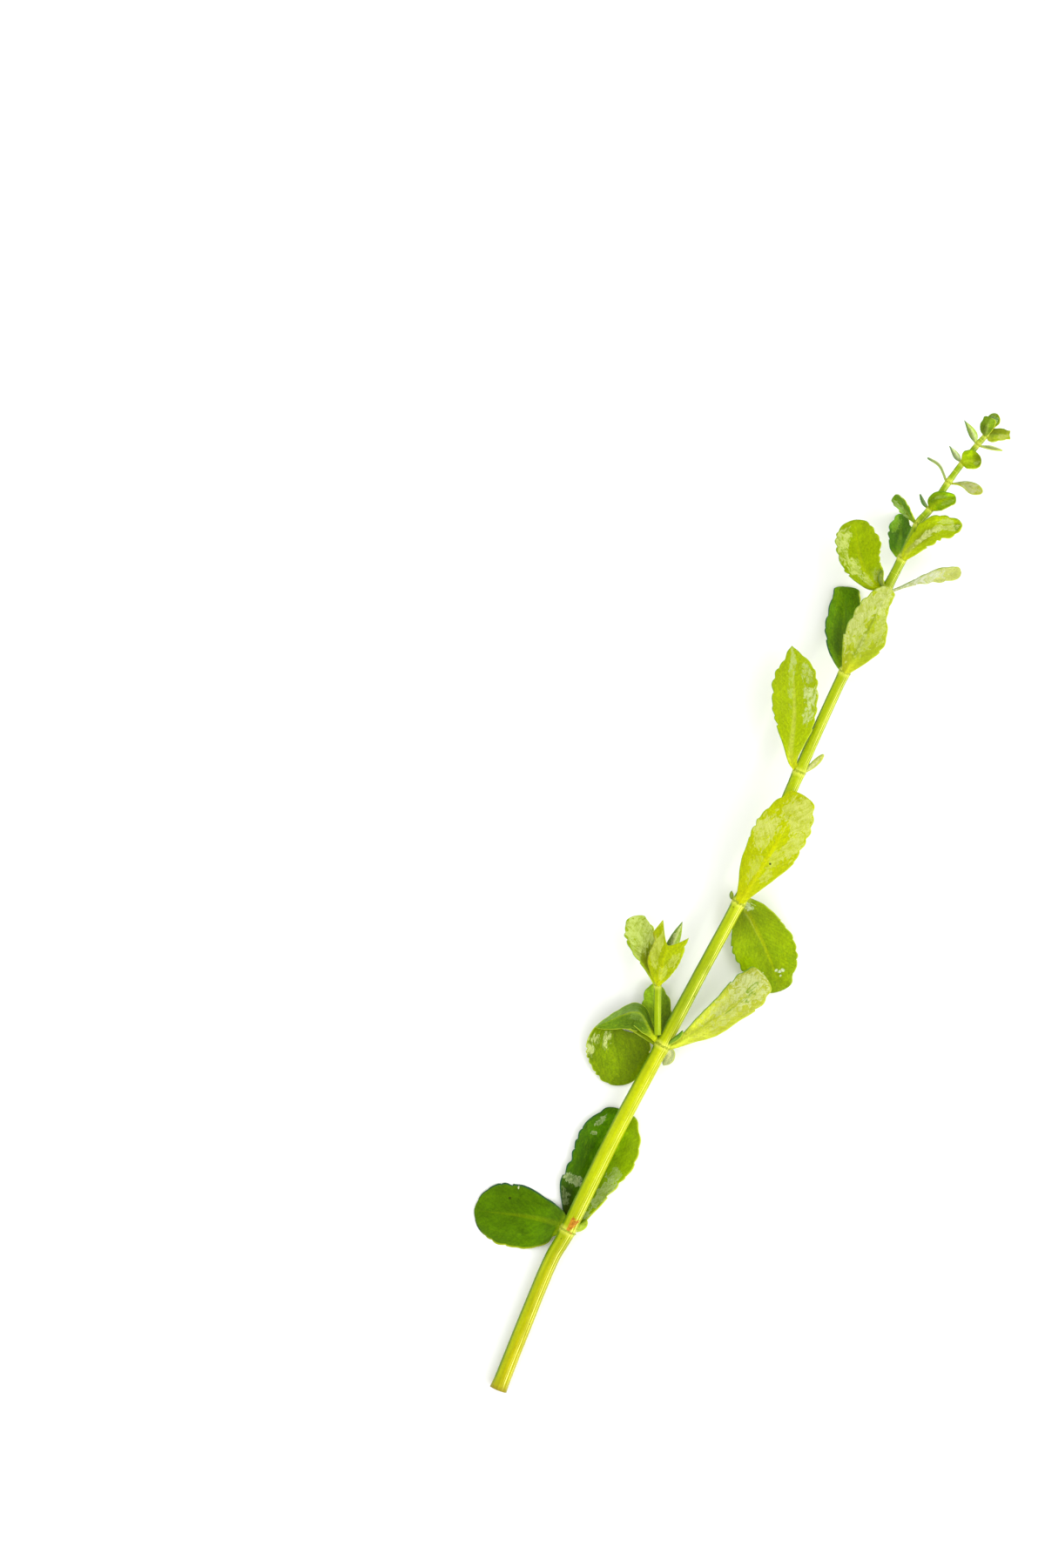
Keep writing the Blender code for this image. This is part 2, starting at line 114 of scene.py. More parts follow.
# A leaf: the knot it grows on, the angle round the stem (0 right, 90 up, 180 left, 270 under), its path
# as points from the knot, its width, and how its blade turns. turn is 0 where the upper face looks up
# and 180 where the under face does. left and right lift each half of the blade off flat towards its
# upper face and curl bends them further towards the margin. widest is where along the leaf it is widest,
# stalk is the share of it that is plain stalk, and waist sets how the blade widens (1 evenly, 3 late).
# point draws the tip out and blunt squares it off. teeth is how many teeth each margin has, and they
# start at toothed_from. fork is, for the left and the right lobe of a split tip, its length and where
# across that half its peak is. left_edge and right_edge widen or narrow that side at even steps from
# base to tip, as seen from the upper face with the tip ahead.
LEAVES = {
    "leaf_1_left": dict(
        knot=1, around=186, path=[(-3.0, 1.5, -1.9), (-9.4, 2.8, -2.7), (-19.4, 3.9, -2.7)], width=13.8,
        waist=0.8, teeth=3, toothed_from=0.62,
        left_edge=(1.2, 1.2, 1.17, 1.1, 1.06, 1.0, 0.98, 1.0, 1.0, 1.0, 1.0),
        right_edge=(1.1, 0.95, 0.88, 0.85, 0.88, 0.92, 0.92, 0.97, 1.0, 1.0, 1.0)),
    "leaf_1_under": dict(
        knot=1, around=268, path=[(1.4, 2.6, -2.4), (6.9, 13.2, -2.6), (11.6, 24.8, -2.6)], width=13.0,
        widest=0.68, blunt=0.6, left=4, right=4, curl=10, teeth=6,
        left_edge=(1.0, 1.1, 1.4, 1.42, 1.21, 1.07, 1.08, 1.1, 1.1, 1.06, 0.98),
        right_edge=(1.3, 1.1, 0.95, 0.9, 0.88, 0.91, 1.0, 1.02, 1.0, 1.02, 0.95)),
    "leaf_1_small": dict(
        knot=1, around=335, path=[(3.2, 0.8, -1.2), (4.0, 2.0, -1.2)], width=1.5),
    "leaf_2_right": dict(
        knot=2, around=8, path=[(4.7, 1.2, 0.7), (12.6, 7.2, 1.9), (21.2, 14.3, 2.0)], width=7.9,
        widest=0.76, waist=1.4, blunt=0.9, turn=184, left=-4, right=10, curl=14, teeth=2, toothed_from=0.76,
        left_edge=(1.0, 0.8, 0.95, 1.2, 1.21, 1.08, 1.0, 1.05, 1.12, 1.18, 1.05),
        right_edge=(1.0, 1.0, 1.0, 0.95, 0.9, 0.85, 0.84, 0.93, 1.02, 1.2, 1.2)),
    "leaf_2_ridged": dict(
        knot=2, around=165, path=[(-2.6, 3.4, 1.5), (-5.7, 7.0, 2.3), (-13.8, 3.8, 0.2)], width=9.2,
        waist=1.2, left=-34, right=-66,
        left_edge=(0.7, 0.75, 0.85, 0.95, 1.08, 1.14, 1.0, 0.85, 0.7, 0.6, 0.5),
        right_edge=(1.0, 1.0, 1.0, 1.0, 1.0, 0.98, 0.85, 0.7, 0.66, 0.6, 0.5)),
    "leaf_2_drooping": dict(
        knot=2, around=212,
        path=[(-5.0, 3.2, -1.9), (-8.4, 4.5, -2.3), (-9.8, 2.9, -2.6), (-9.2, -2.0, -3.4),
              (-8.2, -8.6, -4.7)], width=12.2, widest=0.7, stalk=0.44, waist=0.42, left=4, right=4, teeth=7,
        toothed_from=0.6, left_edge=(1.0, 1.0, 1.0, 1.0, 1.25, 1.35, 1.25, 1.15, 1.05, 1.0, 1.0),
        right_edge=(1.0, 1.0, 1.0, 1.0, 1.0, 1.15, 1.12, 1.05, 0.98, 1.0, 1.1)),
    "leaf_2_behind": dict(
        knot=2, around=255, path=[(-0.9, 6.3, -2.7), (-1.8, 12.6, -2.9)], width=6.2, teeth=3),
    "leaf_2_low": dict(
        knot=2, around=300, path=[(1.5, -2.0, -2.0), (0.3, -4.4, -2.7)], width=2.6, point=0.3, turn=180,
        left_edge=(1.0, 1.1, 1.2, 1.2, 1.1, 1.0, 0.9, 0.8, 0.8, 0.9, 1.0)),
    "leaf_2_axil": dict(
        knot=2, around=60, path=[(3.3, 1.9, 1.9), (4.2, 3.1, 2.0)], width=1.0),
    "shoot_leaf_left": dict(
        knot="shoot", around=180, path=[(-2.8, 6.0, 0.3), (-4.9, 14.2, 0.4)], width=6.2, widest=0.7,
        waist=1.4, blunt=1.0, left=5, right=5, teeth=4,
        left_edge=(0.7, 0.6, 0.55, 0.6, 0.7, 0.82, 0.86, 0.95, 1.0, 1.02, 0.78),
        right_edge=(1.2, 1.4, 1.4, 1.3, 1.2, 1.15, 1.1, 1.1, 1.15, 1.12, 1.0)),
    "shoot_leaf_forked": dict(
        knot="shoot", around=80, path=[(1.0, 4.8, 2.6), (2.0, 8.2, 3.7)], width=6.8, turn=180, left=10,
        right=10, fork=((2.7, 1.0), (5.1, 0.65)),
        left_edge=(0.9, 0.95, 0.98, 0.94, 0.96, 1.0, 1.04, 1.12, 1.28, 1.45, 1.55),
        right_edge=(0.9, 0.95, 0.98, 0.92, 0.95, 0.96, 0.97, 0.98, 1.03, 1.25, 1.6)),
    "shoot_leaf_back": dict(
        knot="shoot", around=290, path=[(2.3, 6.3, -0.6), (5.1, 13.0, 0.3)], width=3.0, point=0.6, turn=30),
    "leaf_3_front": dict(
        knot=3, around=84, path=[(1.9, 3.0, 2.3), (6.9, 11.2, 4.0), (13.0, 22.3, 4.6)], width=10.9,
        blunt=0.7, turn=180, left=5, right=5, teeth=5, toothed_from=0.5,
        left_edge=(0.8, 0.78, 0.82, 0.86, 0.93, 1.0, 0.98, 1.03, 1.12, 1.15, 1.18),
        right_edge=(0.95, 0.93, 1.03, 1.07, 1.0, 1.03, 1.08, 1.1, 1.06, 1.08, 1.2)),
    "leaf_3_back": dict(
        knot=3, around=295, path=[(1.7, -1.8, -2.0), (5.4, -8.8, -4.5), (9.3, -18.4, -6.3)], width=11.7,
        blunt=0.8, left=4, right=4, teeth=6,
        left_edge=(1.6, 1.6, 1.3, 1.16, 1.06, 1.08, 1.07, 1.06, 1.03, 0.91, 0.75),
        right_edge=(1.0, 1.3, 1.3, 1.3, 1.25, 1.18, 1.1, 1.12, 1.1, 1.0, 0.9)),
    "leaf_3_axil": dict(
        knot=3, around=196, path=[(-1.4, 1.1, 0.0), (-1.5, 2.5, 0.2)], width=0.9, point=0.5),
    "leaf_4_left": dict(
        knot=4, around=148, path=[(-1.9, 3.4, 2.2), (-1.1, 12.6, 1.7), (-1.4, 26.0, -1.0)], width=9.4,
        widest=0.53, waist=1.5, turn=4, left=3, right=8, teeth=7,
        left_edge=(0.5, 0.45, 0.6, 0.82, 0.93, 1.0, 1.0, 1.05, 1.0, 0.58, 0.45),
        right_edge=(1.0, 1.0, 1.0, 1.0, 1.0, 1.02, 1.08, 1.15, 1.22, 1.04, 0.4)),
    "leaf_4_small": dict(
        knot=4, around=345, path=[(3.3, 1.8, 0.2), (5.1, 3.6, 0.5)], width=1.4, turn=180),
    "leaf_5_front": dict(
        knot=5, around=82, path=[(1.4, 2.4, 2.0), (4.7, 8.8, 3.4), (9.1, 17.2, 4.0)], width=8.7, widest=0.44,
        blunt=0.7, turn=180, left=7, right=7, teeth=4,
        left_edge=(1.0, 0.97, 0.97, 1.02, 1.08, 1.05, 0.92, 0.64, 0.56, 0.7, 0.95),
        right_edge=(1.0, 0.95, 0.92, 0.95, 1.0, 1.0, 1.05, 1.1, 1.12, 1.15, 1.1)),
    "leaf_5_back": dict(
        knot=5, around=262, path=[(-0.6, 2.6, -2.1), (0.1, 9.0, -5.4), (0.7, 18.0, -8.6)], width=7.6,
        blunt=0.9, left=4, right=4, teeth=4,
        left_edge=(0.7, 0.9, 1.1, 1.1, 1.04, 1.06, 1.0, 0.95, 0.93, 1.05, 1.15),
        right_edge=(1.0, 1.0, 1.0, 1.0, 1.0, 1.0, 1.02, 1.05, 1.12, 1.3, 1.6)),
    "leaf_6_left": dict(
        knot=6, around=165, path=[(-3.4, 2.0, 0.6), (-5.5, 7.0, 1.0), (-6.4, 14.5, 0.4)], width=9.0,
        blunt=0.25, turn=-4, left=6, right=4, teeth=6,
        left_edge=(0.75, 0.75, 0.79, 0.86, 0.95, 0.96, 1.0, 1.07, 1.18, 1.2, 1.15),
        right_edge=(1.6, 1.6, 1.35, 1.05, 0.97, 0.97, 1.07, 1.15, 1.1, 1.15, 1.15)),
    "leaf_6_right": dict(
        knot=6, around=0, path=[(6.5, 1.8, 0.2), (11.0, 3.0, 0.1), (15.6, 3.7, -0.8)], width=3.4, widest=0.8,
        waist=3.0, blunt=0.8, turn=200, teeth=3),
    "leaf_6_axil": dict(
        knot=6, around=120, path=[(-1.2, 2.2, 1.8), (-0.8, 4.1, 2.0)], width=1.2),
    "leaf_7_front": dict(
        knot=7, around=80,
        path=[(1.8, 2.2, 1.8), (6.1, 5.6, 2.8), (10.2, 6.6, 3.2), (12.0, 6.7, 4.4)], width=5.4, turn=180,
        left=8, right=8, teeth=4, left_edge=(1.6, 1.5, 1.2, 1.0, 1.04, 0.97, 0.96, 0.93, 1.1, 1.09, 0.95),
        right_edge=(1.0, 1.0, 1.0, 1.0, 1.05, 1.1, 1.1, 1.08, 0.97, 0.9, 0.6)),
    "leaf_7_back": dict(
        knot=7, around=258, path=[(-0.6, 1.7, -2.2), (0.1, 5.2, -5.6), (0.6, 9.7, -9.65)], width=4.9, left=4,
        right=4, teeth=3, left_edge=(1.3, 1.1, 1.3, 1.15, 1.07, 1.12, 1.06, 1.1, 0.97, 0.98, 1.0)),
    "leaf_8_left": dict(
        knot=8, around=175, path=[(-2.5, 3.2, 0.7), (-4.7, 6.1, 1.0)], width=3.6, turn=-56, left=14,
        right=14, teeth=3, left_edge=(1.0, 1.0, 1.0, 1.0, 1.0, 1.05, 0.98, 1.05, 1.35, 1.6, 1.7),
        right_edge=(1.0, 1.0, 0.85, 0.93, 0.98, 1.08, 1.15, 1.3, 1.42, 1.5, 1.6)),
    "leaf_9_front": dict(
        knot=9, around=84, path=[(1.6, 1.5, 1.4), (5.2, 2.5, 1.6)], width=3.8, widest=0.5, turn=10, left=8,
        right=8, left_edge=(1.4, 1.4, 1.4, 1.28, 1.19, 1.1, 1.0, 0.9, 0.85, 0.8, 1.0),
        right_edge=(1.8, 1.8, 1.55, 1.25, 1.08, 1.01, 1.0, 1.0, 1.01, 1.25, 1.6)),
    "leaf_9_back": dict(
        knot=9, around=215, path=[(-1.2, 1.3, -0.5), (-2.0, 3.2, -0.7)], width=2.0, widest=0.4, point=0.6,
        turn=62),
    "leaf_10_left": dict(
        knot=10, around=165, path=[(-1.9, 3.4, 0.5), (-4.4, 5.0, 0.6)], width=2.3, turn=72),
    "leaf_10_right": dict(
        knot=10, around=355, path=[(3.3, -0.5, 0.0), (7.1, -2.1, -0.4)], width=2.3, widest=0.72, waist=2.2,
        turn=180, left_edge=(1.0, 1.0, 1.0, 1.0, 1.0, 1.1, 1.2, 1.2, 1.1, 1.0, 1.0)),
    "leaf_11_front": dict(
        knot=11, around=92, path=[(0.9, 0.2, 1.3), (3.7, 0.7, 1.9)], width=3.9, widest=0.56, blunt=0.3,
        turn=180, left=10, right=10, left_edge=(1.6, 1.5, 1.25, 1.0, 0.9, 0.9, 0.9, 0.94, 1.0, 1.05, 0.95),
        right_edge=(3.2, 2.6, 2.0, 1.6, 1.35, 1.25, 1.25, 1.2, 1.1, 1.0, 0.85)),
    "leaf_11_back": dict(
        knot=11, around=205, path=[(-1.2, 1.5, -0.2), (-2.7, 3.6, -0.2)], width=1.6, widest=0.36, point=1.0,
        turn=30),
    "leaf_12_left": dict(
        knot=12, around=165, path=[(-1.0, 2.2, 0.5), (-2.8, 5.0, 0.6)], width=1.9, widest=0.36, point=0.9,
        turn=20),
    "leaf_12_right": dict(
        knot=12, around=345, path=[(2.7, -0.6, -0.1), (5.2, -1.2, -0.2)], width=1.5, widest=0.5, point=0.5,
        turn=130),
    "leaf_13_front": dict(
        knot=13, around=110, path=[(0.3, 2.0, 1.4), (1.0, 3.6, 2.1)], width=3.2, turn=180, left=16, right=16,
        left_edge=(1.3, 1.3, 1.2, 1.1, 1.0, 1.0, 1.0, 1.0, 1.1, 1.3, 1.6),
        right_edge=(1.6, 1.55, 1.35, 1.12, 1.05, 1.0, 0.93, 0.91, 1.05, 1.35, 1.7)),
    "leaf_13_back": dict(
        knot="apex", around=285, path=[(0.5, 1.4, -0.9), (1.2, 3.3, -0.5)], width=2.9, left=14, right=14),
    "leaf_13_right": dict(
        knot=13, around=345, path=[(2.6, 0.3, 0.1), (5.0, 0.2, 0.2)], width=2.7, turn=180, left=14, right=14,
        fork=((0.25, 0.7), (0.15, 0.8)), left_edge=(3.0, 2.4, 1.8, 1.4, 1.15, 1.0, 1.0, 1.0, 1.0, 1.0, 1.0),
        right_edge=(3.0, 2.4, 1.8, 1.4, 1.15, 1.0, 1.0, 1.0, 1.0, 1.0, 1.0)),
}
BUD = dict(centre=(102.2, 199.9, 10.9), length=1.9, width=1.0, lean=(0.62, 0.78, 0.05))

# How each leaf looks from above. face and deep are the two greens that mottle it, pale is its lengthwise
# fibres, rib its midrib, base the stalk and rim the margin, in painted shade on the side away from the light.
# Those that follow are optional. rib_tip is the midrib towards the tip, vein the side veins, rim_lit the
# margin in painted light on the lit side, right the green towards the leaf's right side, and base_to how
# far up the stalk's green reaches. rib_size and rim_size widen the midrib and the rim. rib_shows, rim_shows,
# veins, fibres_show, edge_shows (the film's bright edge, a painted highlight), grain and specks (small dark
# dots) are strengths, rough is the roughness, and film_holes is how much film is left where it has worn off.
# Places are across (-1 to 1, the leaf's own left is 1) and along (0 to 1), then half sizes: film_and_sheen is
# patches of damp or dried film with their strength, in the colour sheen_veil, which is a painted sheen;
# painted_light_and_shade is patches of painted light and shade that are so much lighter; scars is healed
# marks.
# spots is dirt: millimetres across and along, and the radius.
LOOKS = {
    "leaf_1_left": dict(
        face="#4E7500", deep="#375700", pale="#698C00", rib="#869C00", base="#829A00", rim="#083E36",
        rim_lit="#B4C010", sheen_veil="#C3C69A", base_to=0.1, rib_size=1.1, rib_shows=0.32, rim_size=1.8,
        rim_shows=1.0, veins=0.12, fibres_show=0.3, grain=0.26, specks=0.5,
        film_and_sheen=[(-0.93, 0.56, 0.12, 0.007, 0.9)],
        painted_light_and_shade=[(-0.5, 0.6, 0.6, 0.25, -0.1), (0.0, 0.25, 0.8, 0.2, 0.12), (0.0, 0.6, 0.4, 0.2, -0.12),
               (0.7, 0.35, 0.4, 0.15, 0.12)], spots=[(-3.3, 12.4, 0.28)]),
    "leaf_1_under": dict(
        face="#406C00", deep="#315700", pale="#6B8F00", rib="#6E8E00", base="#738E00", rim="#12503A",
        sheen_veil="#9EAE72", right="#83A100", rim_size=1.6, rim_shows=1.0, grain=0.28, specks=0.3,
        edge_shows=0.75,
        film_and_sheen=[(0.62, 0.36, 0.5, 0.035, 0.8), (0.9, 0.22, 0.3, 0.05, 0.3), (-0.7, 0.34, 0.3, 0.14, 0.5),
              (0.62, 0.86, 0.10, 0.045, 0.75), (0.58, 0.76, 0.08, 0.012, 0.9),
              (-0.62, 0.52, 0.2, 0.05, 0.35)],
        painted_light_and_shade=[(0.75, 0.16, 0.5, 0.2, -0.55), (0.2, 0.78, 0.6, 0.16, 0.25), (-0.7, 0.3, 0.4, 0.15, -0.2),
               (0.8, 0.1, 0.5, 0.15, -0.4), (0.1, 0.85, 0.7, 0.14, 0.35), (0.1, 0.6, 0.4, 0.15, 0.25)]),
    "leaf_2_right": dict(
        face="#AEB631", deep="#A4AC2A", pale="#B8C070", rib="#99A42A", base="#B4BC2F", rim="#4C8A34",
        sheen_veil="#C1C989", rim_size=1.3, rim_shows=0.85, grain=0.2, specks=0.15, film_holes=0.25,
        film_and_sheen=[(-0.1, 0.86, 0.8, 0.17, 0.75), (-0.35, 0.6, 0.4, 0.2, 0.5), (0.4, 0.55, 0.25, 0.15, 0.35)],
        painted_light_and_shade=[(0.3, 0.2, 0.9, 0.22, 0.25), (0.0, 0.85, 1.0, 0.25, -0.12), (-0.6, 0.45, 0.5, 0.2, 0.12),
               (-0.85, 0.42, 0.45, 0.28, 0.25), (0.0, 0.1, 0.5, 0.12, 0.3), (-0.7, 0.88, 0.4, 0.15, -0.1)],
        scars=[(0.0, 0.86, 0.1, 0.05), (0.35, 0.80, 0.08, 0.05), (0.18, 0.70, 0.04, 0.12)]),
    "leaf_2_ridged": dict(
        face="#618613", deep="#4B6E13", pale="#99B713", rib="#BFCF13", base="#D0DC13", rim="#C9DC3C",
        sheen_veil="#88A643", rib_shows=0.3, rim_shows=0.9, specks=0.2, film_and_sheen=[(0.15, 0.45, 0.3, 0.12, 0.3)],
        painted_light_and_shade=[(0.5, 0.5, 0.6, 0.25, -0.3), (-0.5, 0.3, 0.4, 0.2, -0.25), (-0.5, 0.85, 0.6, 0.2, 0.3)]),
    "leaf_2_drooping": dict(
        face="#728D00", deep="#5A7600", pale="#9CAF00", rib="#546C00", base="#93A900", rim="#B4C63A",
        sheen_veil="#D0D888", rim_size=1.2, rim_shows=0.9, specks=1.0, film_holes=0.1,
        film_and_sheen=[(-0.86, 0.60, 0.12, 0.06, 0.65), (-0.34, 0.58, 0.07, 0.07, 0.7), (-0.2, 0.54, 0.07, 0.04, 0.6),
              (-0.66, 0.55, 0.09, 0.03, 0.5)],
        painted_light_and_shade=[(0.6, 0.6, 0.5, 0.3, -0.2), (-0.2, 0.7, 0.4, 0.2, 0.15)]),
    "leaf_2_behind": dict(
        face="#8AAD1C", deep="#65871B", pale="#A6C31C", rib="#C5DA28", base="#C0DA22", rim="#6E9426",
        specks=0.3,
        painted_light_and_shade=[(0.0, 0.35, 1.0, 0.25, -0.3), (0.0, 0.9, 1.0, 0.25, 0.3), (0.75, 0.33, 0.4, 0.15, 0.5),
               (0.5, 0.6, 0.5, 0.12, -0.15), (-0.7, 0.6, 0.6, 0.5, -0.3), (0.6, 0.6, 0.5, 0.4, 0.12)]),
    "leaf_2_low": dict(
        face="#B6BC80", deep="#9CAB6B", pale="#C9CD9C", rib="#D7D79C", base="#D3D26B", rim="#6E8A4A",
        specks=0.2),
    "leaf_2_axil": dict(
        face="#4E8412", deep="#3A6E10", pale="#6E9A24", rib="#7FA030", base="#A8B83C", rim="#2E5E18"),
    "shoot_leaf_left": dict(
        face="#8EA414", deep="#809614", pale="#A6B414", rib="#A2B314", base="#9FB114", rim="#86A62E",
        sheen_veil="#B7C763", rim_shows=0.9, grain=0.28, specks=0.9,
        film_and_sheen=[(0.0, 0.80, 0.95, 0.26, 0.95), (0.5, 0.55, 0.4, 0.12, 0.5)],
        painted_light_and_shade=[(0.0, 0.38, 0.8, 0.2, -0.38), (0.85, 0.35, 0.3, 0.25, 0.3), (0.0, 0.06, 1.0, 0.14, 0.5)]),
    "shoot_leaf_forked": dict(
        face="#A1B000", deep="#95A600", pale="#ADBB00", rib="#B7BF00", base="#BAC200", rim="#8E8A22",
        sheen_veil="#C0CA59", specks=0.3,
        film_and_sheen=[(-0.6, 0.7, 0.3, 0.25, 0.6), (0.15, 0.35, 0.3, 0.15, 0.5), (0.6, 0.6, 0.25, 0.15, 0.5)],
        painted_light_and_shade=[(-0.5, 0.75, 0.4, 0.25, -0.2), (0.5, 0.45, 0.5, 0.3, -0.12), (0.0, 0.12, 0.8, 0.2, 0.05),
               (0.6, 0.6, 0.4, 0.15, -0.12)]),
    "shoot_leaf_back": dict(
        face="#98B249", deep="#84A209", pale="#BECA78", rib="#CDD58A", base="#B6C502", rim="#5C8448",
        sheen_veil="#DADD9B", film_and_sheen=[(0.2, 0.8, 0.4, 0.2, 0.4)],
        painted_light_and_shade=[(0.7, 0.5, 0.6, 0.6, -0.5), (-0.5, 0.5, 0.4, 0.5, 0.2)]),
    "leaf_3_front": dict(
        face="#AAB500", deep="#A1AE00", pale="#B8BE00", rib="#BEC100", base="#BBC000", rim="#88A80E",
        sheen_veil="#BFC660", rib_shows=0.6, rim_size=1.2, grain=0.24, specks=0.12,
        film_and_sheen=[(0.45, 0.83, 0.5, 0.14, 0.75), (-0.55, 0.62, 0.35, 0.13, 0.85), (-0.2, 0.86, 0.3, 0.08, 0.6),
              (0.65, 0.62, 0.25, 0.12, 0.7), (0.3, 0.45, 0.2, 0.1, 0.45), (-0.3, 0.3, 0.2, 0.1, 0.4),
              (0.5, 0.3, 0.2, 0.06, 0.5)],
        painted_light_and_shade=[(0.5, 0.9, 0.5, 0.15, -0.08), (0.0, 0.45, 0.4, 0.3, 0.08), (0.1, 0.88, 0.6, 0.14, -0.08)],
        spots=[(1.1, 10.6, 0.24)]),
    "leaf_3_back": dict(
        face="#7F9700", deep="#708D00", pale="#8EA400", rib="#A2B000", base="#A6B137", rim="#5E8E14",
        sheen_veil="#CBD6AE", base_to=0.07, rim_size=1.2, grain=0.3, specks=0.35,
        film_and_sheen=[(0.28, 0.81, 0.13, 0.016, 0.9), (0.05, 0.79, 0.06, 0.014, 0.9), (0.2, 0.85, 0.05, 0.01, 0.8),
              (-0.6, 0.76, 0.16, 0.014, 0.7), (0.3, 0.06, 0.3, 0.05, 0.6)],
        painted_light_and_shade=[(0.0, 0.12, 1.0, 0.2, -0.25), (0.6, 0.6, 0.5, 0.35, 0.22), (-0.7, 0.55, 0.4, 0.3, 0.15),
               (0.7, 0.1, 0.5, 0.12, 0.15), (0.7, 0.38, 0.4, 0.15, -0.12), (-0.7, 0.6, 0.4, 0.2, 0.15),
               (-0.5, 0.1, 0.5, 0.12, -0.12)]),
    "leaf_3_axil": dict(
        face="#79922A", deep="#637E21", pale="#9DAD49", rib="#9DAD49", base="#A6B52B", rim="#5A7C3C"),
    "leaf_4_left": dict(
        face="#99AE05", deep="#8EA405", pale="#AEBB06", rib="#B8C143", base="#B6BE05", rim="#76981C",
        sheen_veil="#B5C377", rim_size=1.2, grain=0.28, specks=0.25, film_holes=0.15,
        film_and_sheen=[(-0.72, 0.60, 0.26, 0.07, 0.95), (-0.66, 0.47, 0.2, 0.07, 0.9), (-0.62, 0.78, 0.2, 0.08, 0.6),
              (0.05, 0.93, 0.22, 0.12, 0.55), (0.15, 0.75, 0.1, 0.2, 0.35)],
        painted_light_and_shade=[(-0.7, 0.64, 0.4, 0.2, -0.1), (0.7, 0.85, 0.4, 0.15, -0.08), (0.7, 0.1, 0.5, 0.12, 0.2)]),
    "leaf_4_small": dict(
        face="#B6BD51", deep="#9FAC30", pale="#C8CB82", rib="#D1D293", base="#BEC31C", rim="#7E9A44"),
    "leaf_5_front": dict(
        face="#A2B11B", deep="#98A91B", pale="#B4BC31", rib="#7F901B", rib_tip="#788A1B", base="#B8BD1E",
        rim="#769620", sheen_veil="#BFC879", rim_size=1.2, veins=0.35, grain=0.22, specks=0.1,
        film_and_sheen=[(-0.62, 0.60, 0.5, 0.34, 0.7), (0.05, 0.88, 0.7, 0.16, 0.75), (0.55, 0.6, 0.3, 0.16, 0.4),
              (0.1, 0.36, 0.3, 0.12, 0.35)],
        painted_light_and_shade=[(-0.6, 0.1, 0.5, 0.15, -0.2), (0.55, 0.35, 0.5, 0.2, -0.14), (0.0, 0.1, 0.4, 0.15, 0.2),
               (-0.7, 0.55, 0.4, 0.2, -0.1), (0.0, 0.85, 0.5, 0.14, -0.1)]),
    "leaf_5_back": dict(
        face="#5C8605", deep="#446E05", pale="#82A306", rib="#749A07", base="#6D8E05", rim="#14503C",
        vein="#91B022", rim_size=1.5, rim_shows=1.0, veins=0.4, specks=0.15,
        film_and_sheen=[(0.5, 0.85, 0.3, 0.08, 0.25)],
        painted_light_and_shade=[(0.8, 0.62, 0.4, 0.45, 0.3), (0.0, 0.4, 0.5, 0.35, -0.25), (-0.7, 0.85, 0.5, 0.2, -0.3),
               (0.3, 0.36, 0.8, 0.18, -0.22), (0.8, 0.85, 0.5, 0.18, 0.1), (0.7, 0.08, 0.7, 0.12, 0.3)]),
    "leaf_6_left": dict(
        face="#879E00", deep="#7D9700", pale="#98AC00", rib="#9EAF00", base="#9CAD00", rim="#76961C",
        sheen_veil="#B6C360", rim_size=1.2, grain=0.28, specks=0.3, film_holes=0.1,
        film_and_sheen=[(0.62, 0.78, 0.34, 0.12, 0.95), (0.72, 0.58, 0.26, 0.10, 0.75), (0.45, 0.42, 0.3, 0.12, 0.9),
              (0.2, 0.22, 0.25, 0.09, 0.9), (-0.5, 0.2, 0.25, 0.08, 0.45)],
        painted_light_and_shade=[(0.0, 0.1, 0.6, 0.15, 0.3), (0.0, 0.85, 0.4, 0.15, 0.1)]),
    "leaf_6_right": dict(
        face="#B1B85D", deep="#A6AF4A", pale="#BFC496", rib="#97A341", base="#BFC48A", rim="#6C8A3A",
        sheen_veil="#C4C9B2", grain=0.22, film_and_sheen=[(-0.2, 0.35, 1.0, 0.34, 0.75)],
        painted_light_and_shade=[(0.7, 0.2, 0.6, 0.3, -0.2), (0.0, 0.6, 0.4, 0.2, 0.18)]),
    "leaf_6_axil": dict(
        face="#748925", deep="#59721B", pale="#929F45", rib="#929F45", base="#97A32F", rim="#587A30"),
    "leaf_7_front": dict(
        face="#96AA00", deep="#8AA000", pale="#A8B600", rib="#B6C050", base="#AFBB00", rim="#6A8A20",
        sheen_veil="#C5CE7D", rim_size=1.2, rim_shows=0.9, grain=0.28, specks=0.1,
        film_and_sheen=[(0.0, 0.62, 0.22, 0.34, 0.7), (-0.45, 0.80, 0.3, 0.1, 0.45), (0.2, 0.86, 0.3, 0.07, 0.4)],
        painted_light_and_shade=[(0.0, 0.4, 0.4, 0.25, -0.2), (-0.6, 0.8, 0.4, 0.2, 0.15), (0.0, 0.4, 0.35, 0.22, -0.22),
               (-0.6, 0.75, 0.4, 0.3, 0.1)], scars=[(0.2, 0.93, 0.3, 0.05)]),
    "leaf_7_back": dict(
        face="#497800", deep="#3F6C00", pale="#649400", rib="#719F00", base="#89AF00", rim="#4A7C38",
        sheen_veil="#83AA25", rim_shows=0.9, veins=0.4, specks=0.2, film_and_sheen=[(0.5, 0.75, 0.4, 0.16, 0.6)],
        painted_light_and_shade=[(0.0, 0.5, 0.5, 0.3, -0.35), (0.7, 0.8, 0.5, 0.25, 0.8), (0.7, 0.6, 0.4, 0.1, -0.2),
               (0.7, 0.9, 0.5, 0.15, 0.2), (-0.7, 0.85, 0.5, 0.2, -0.35), (0.0, 0.35, 0.4, 0.14, 0.3)]),
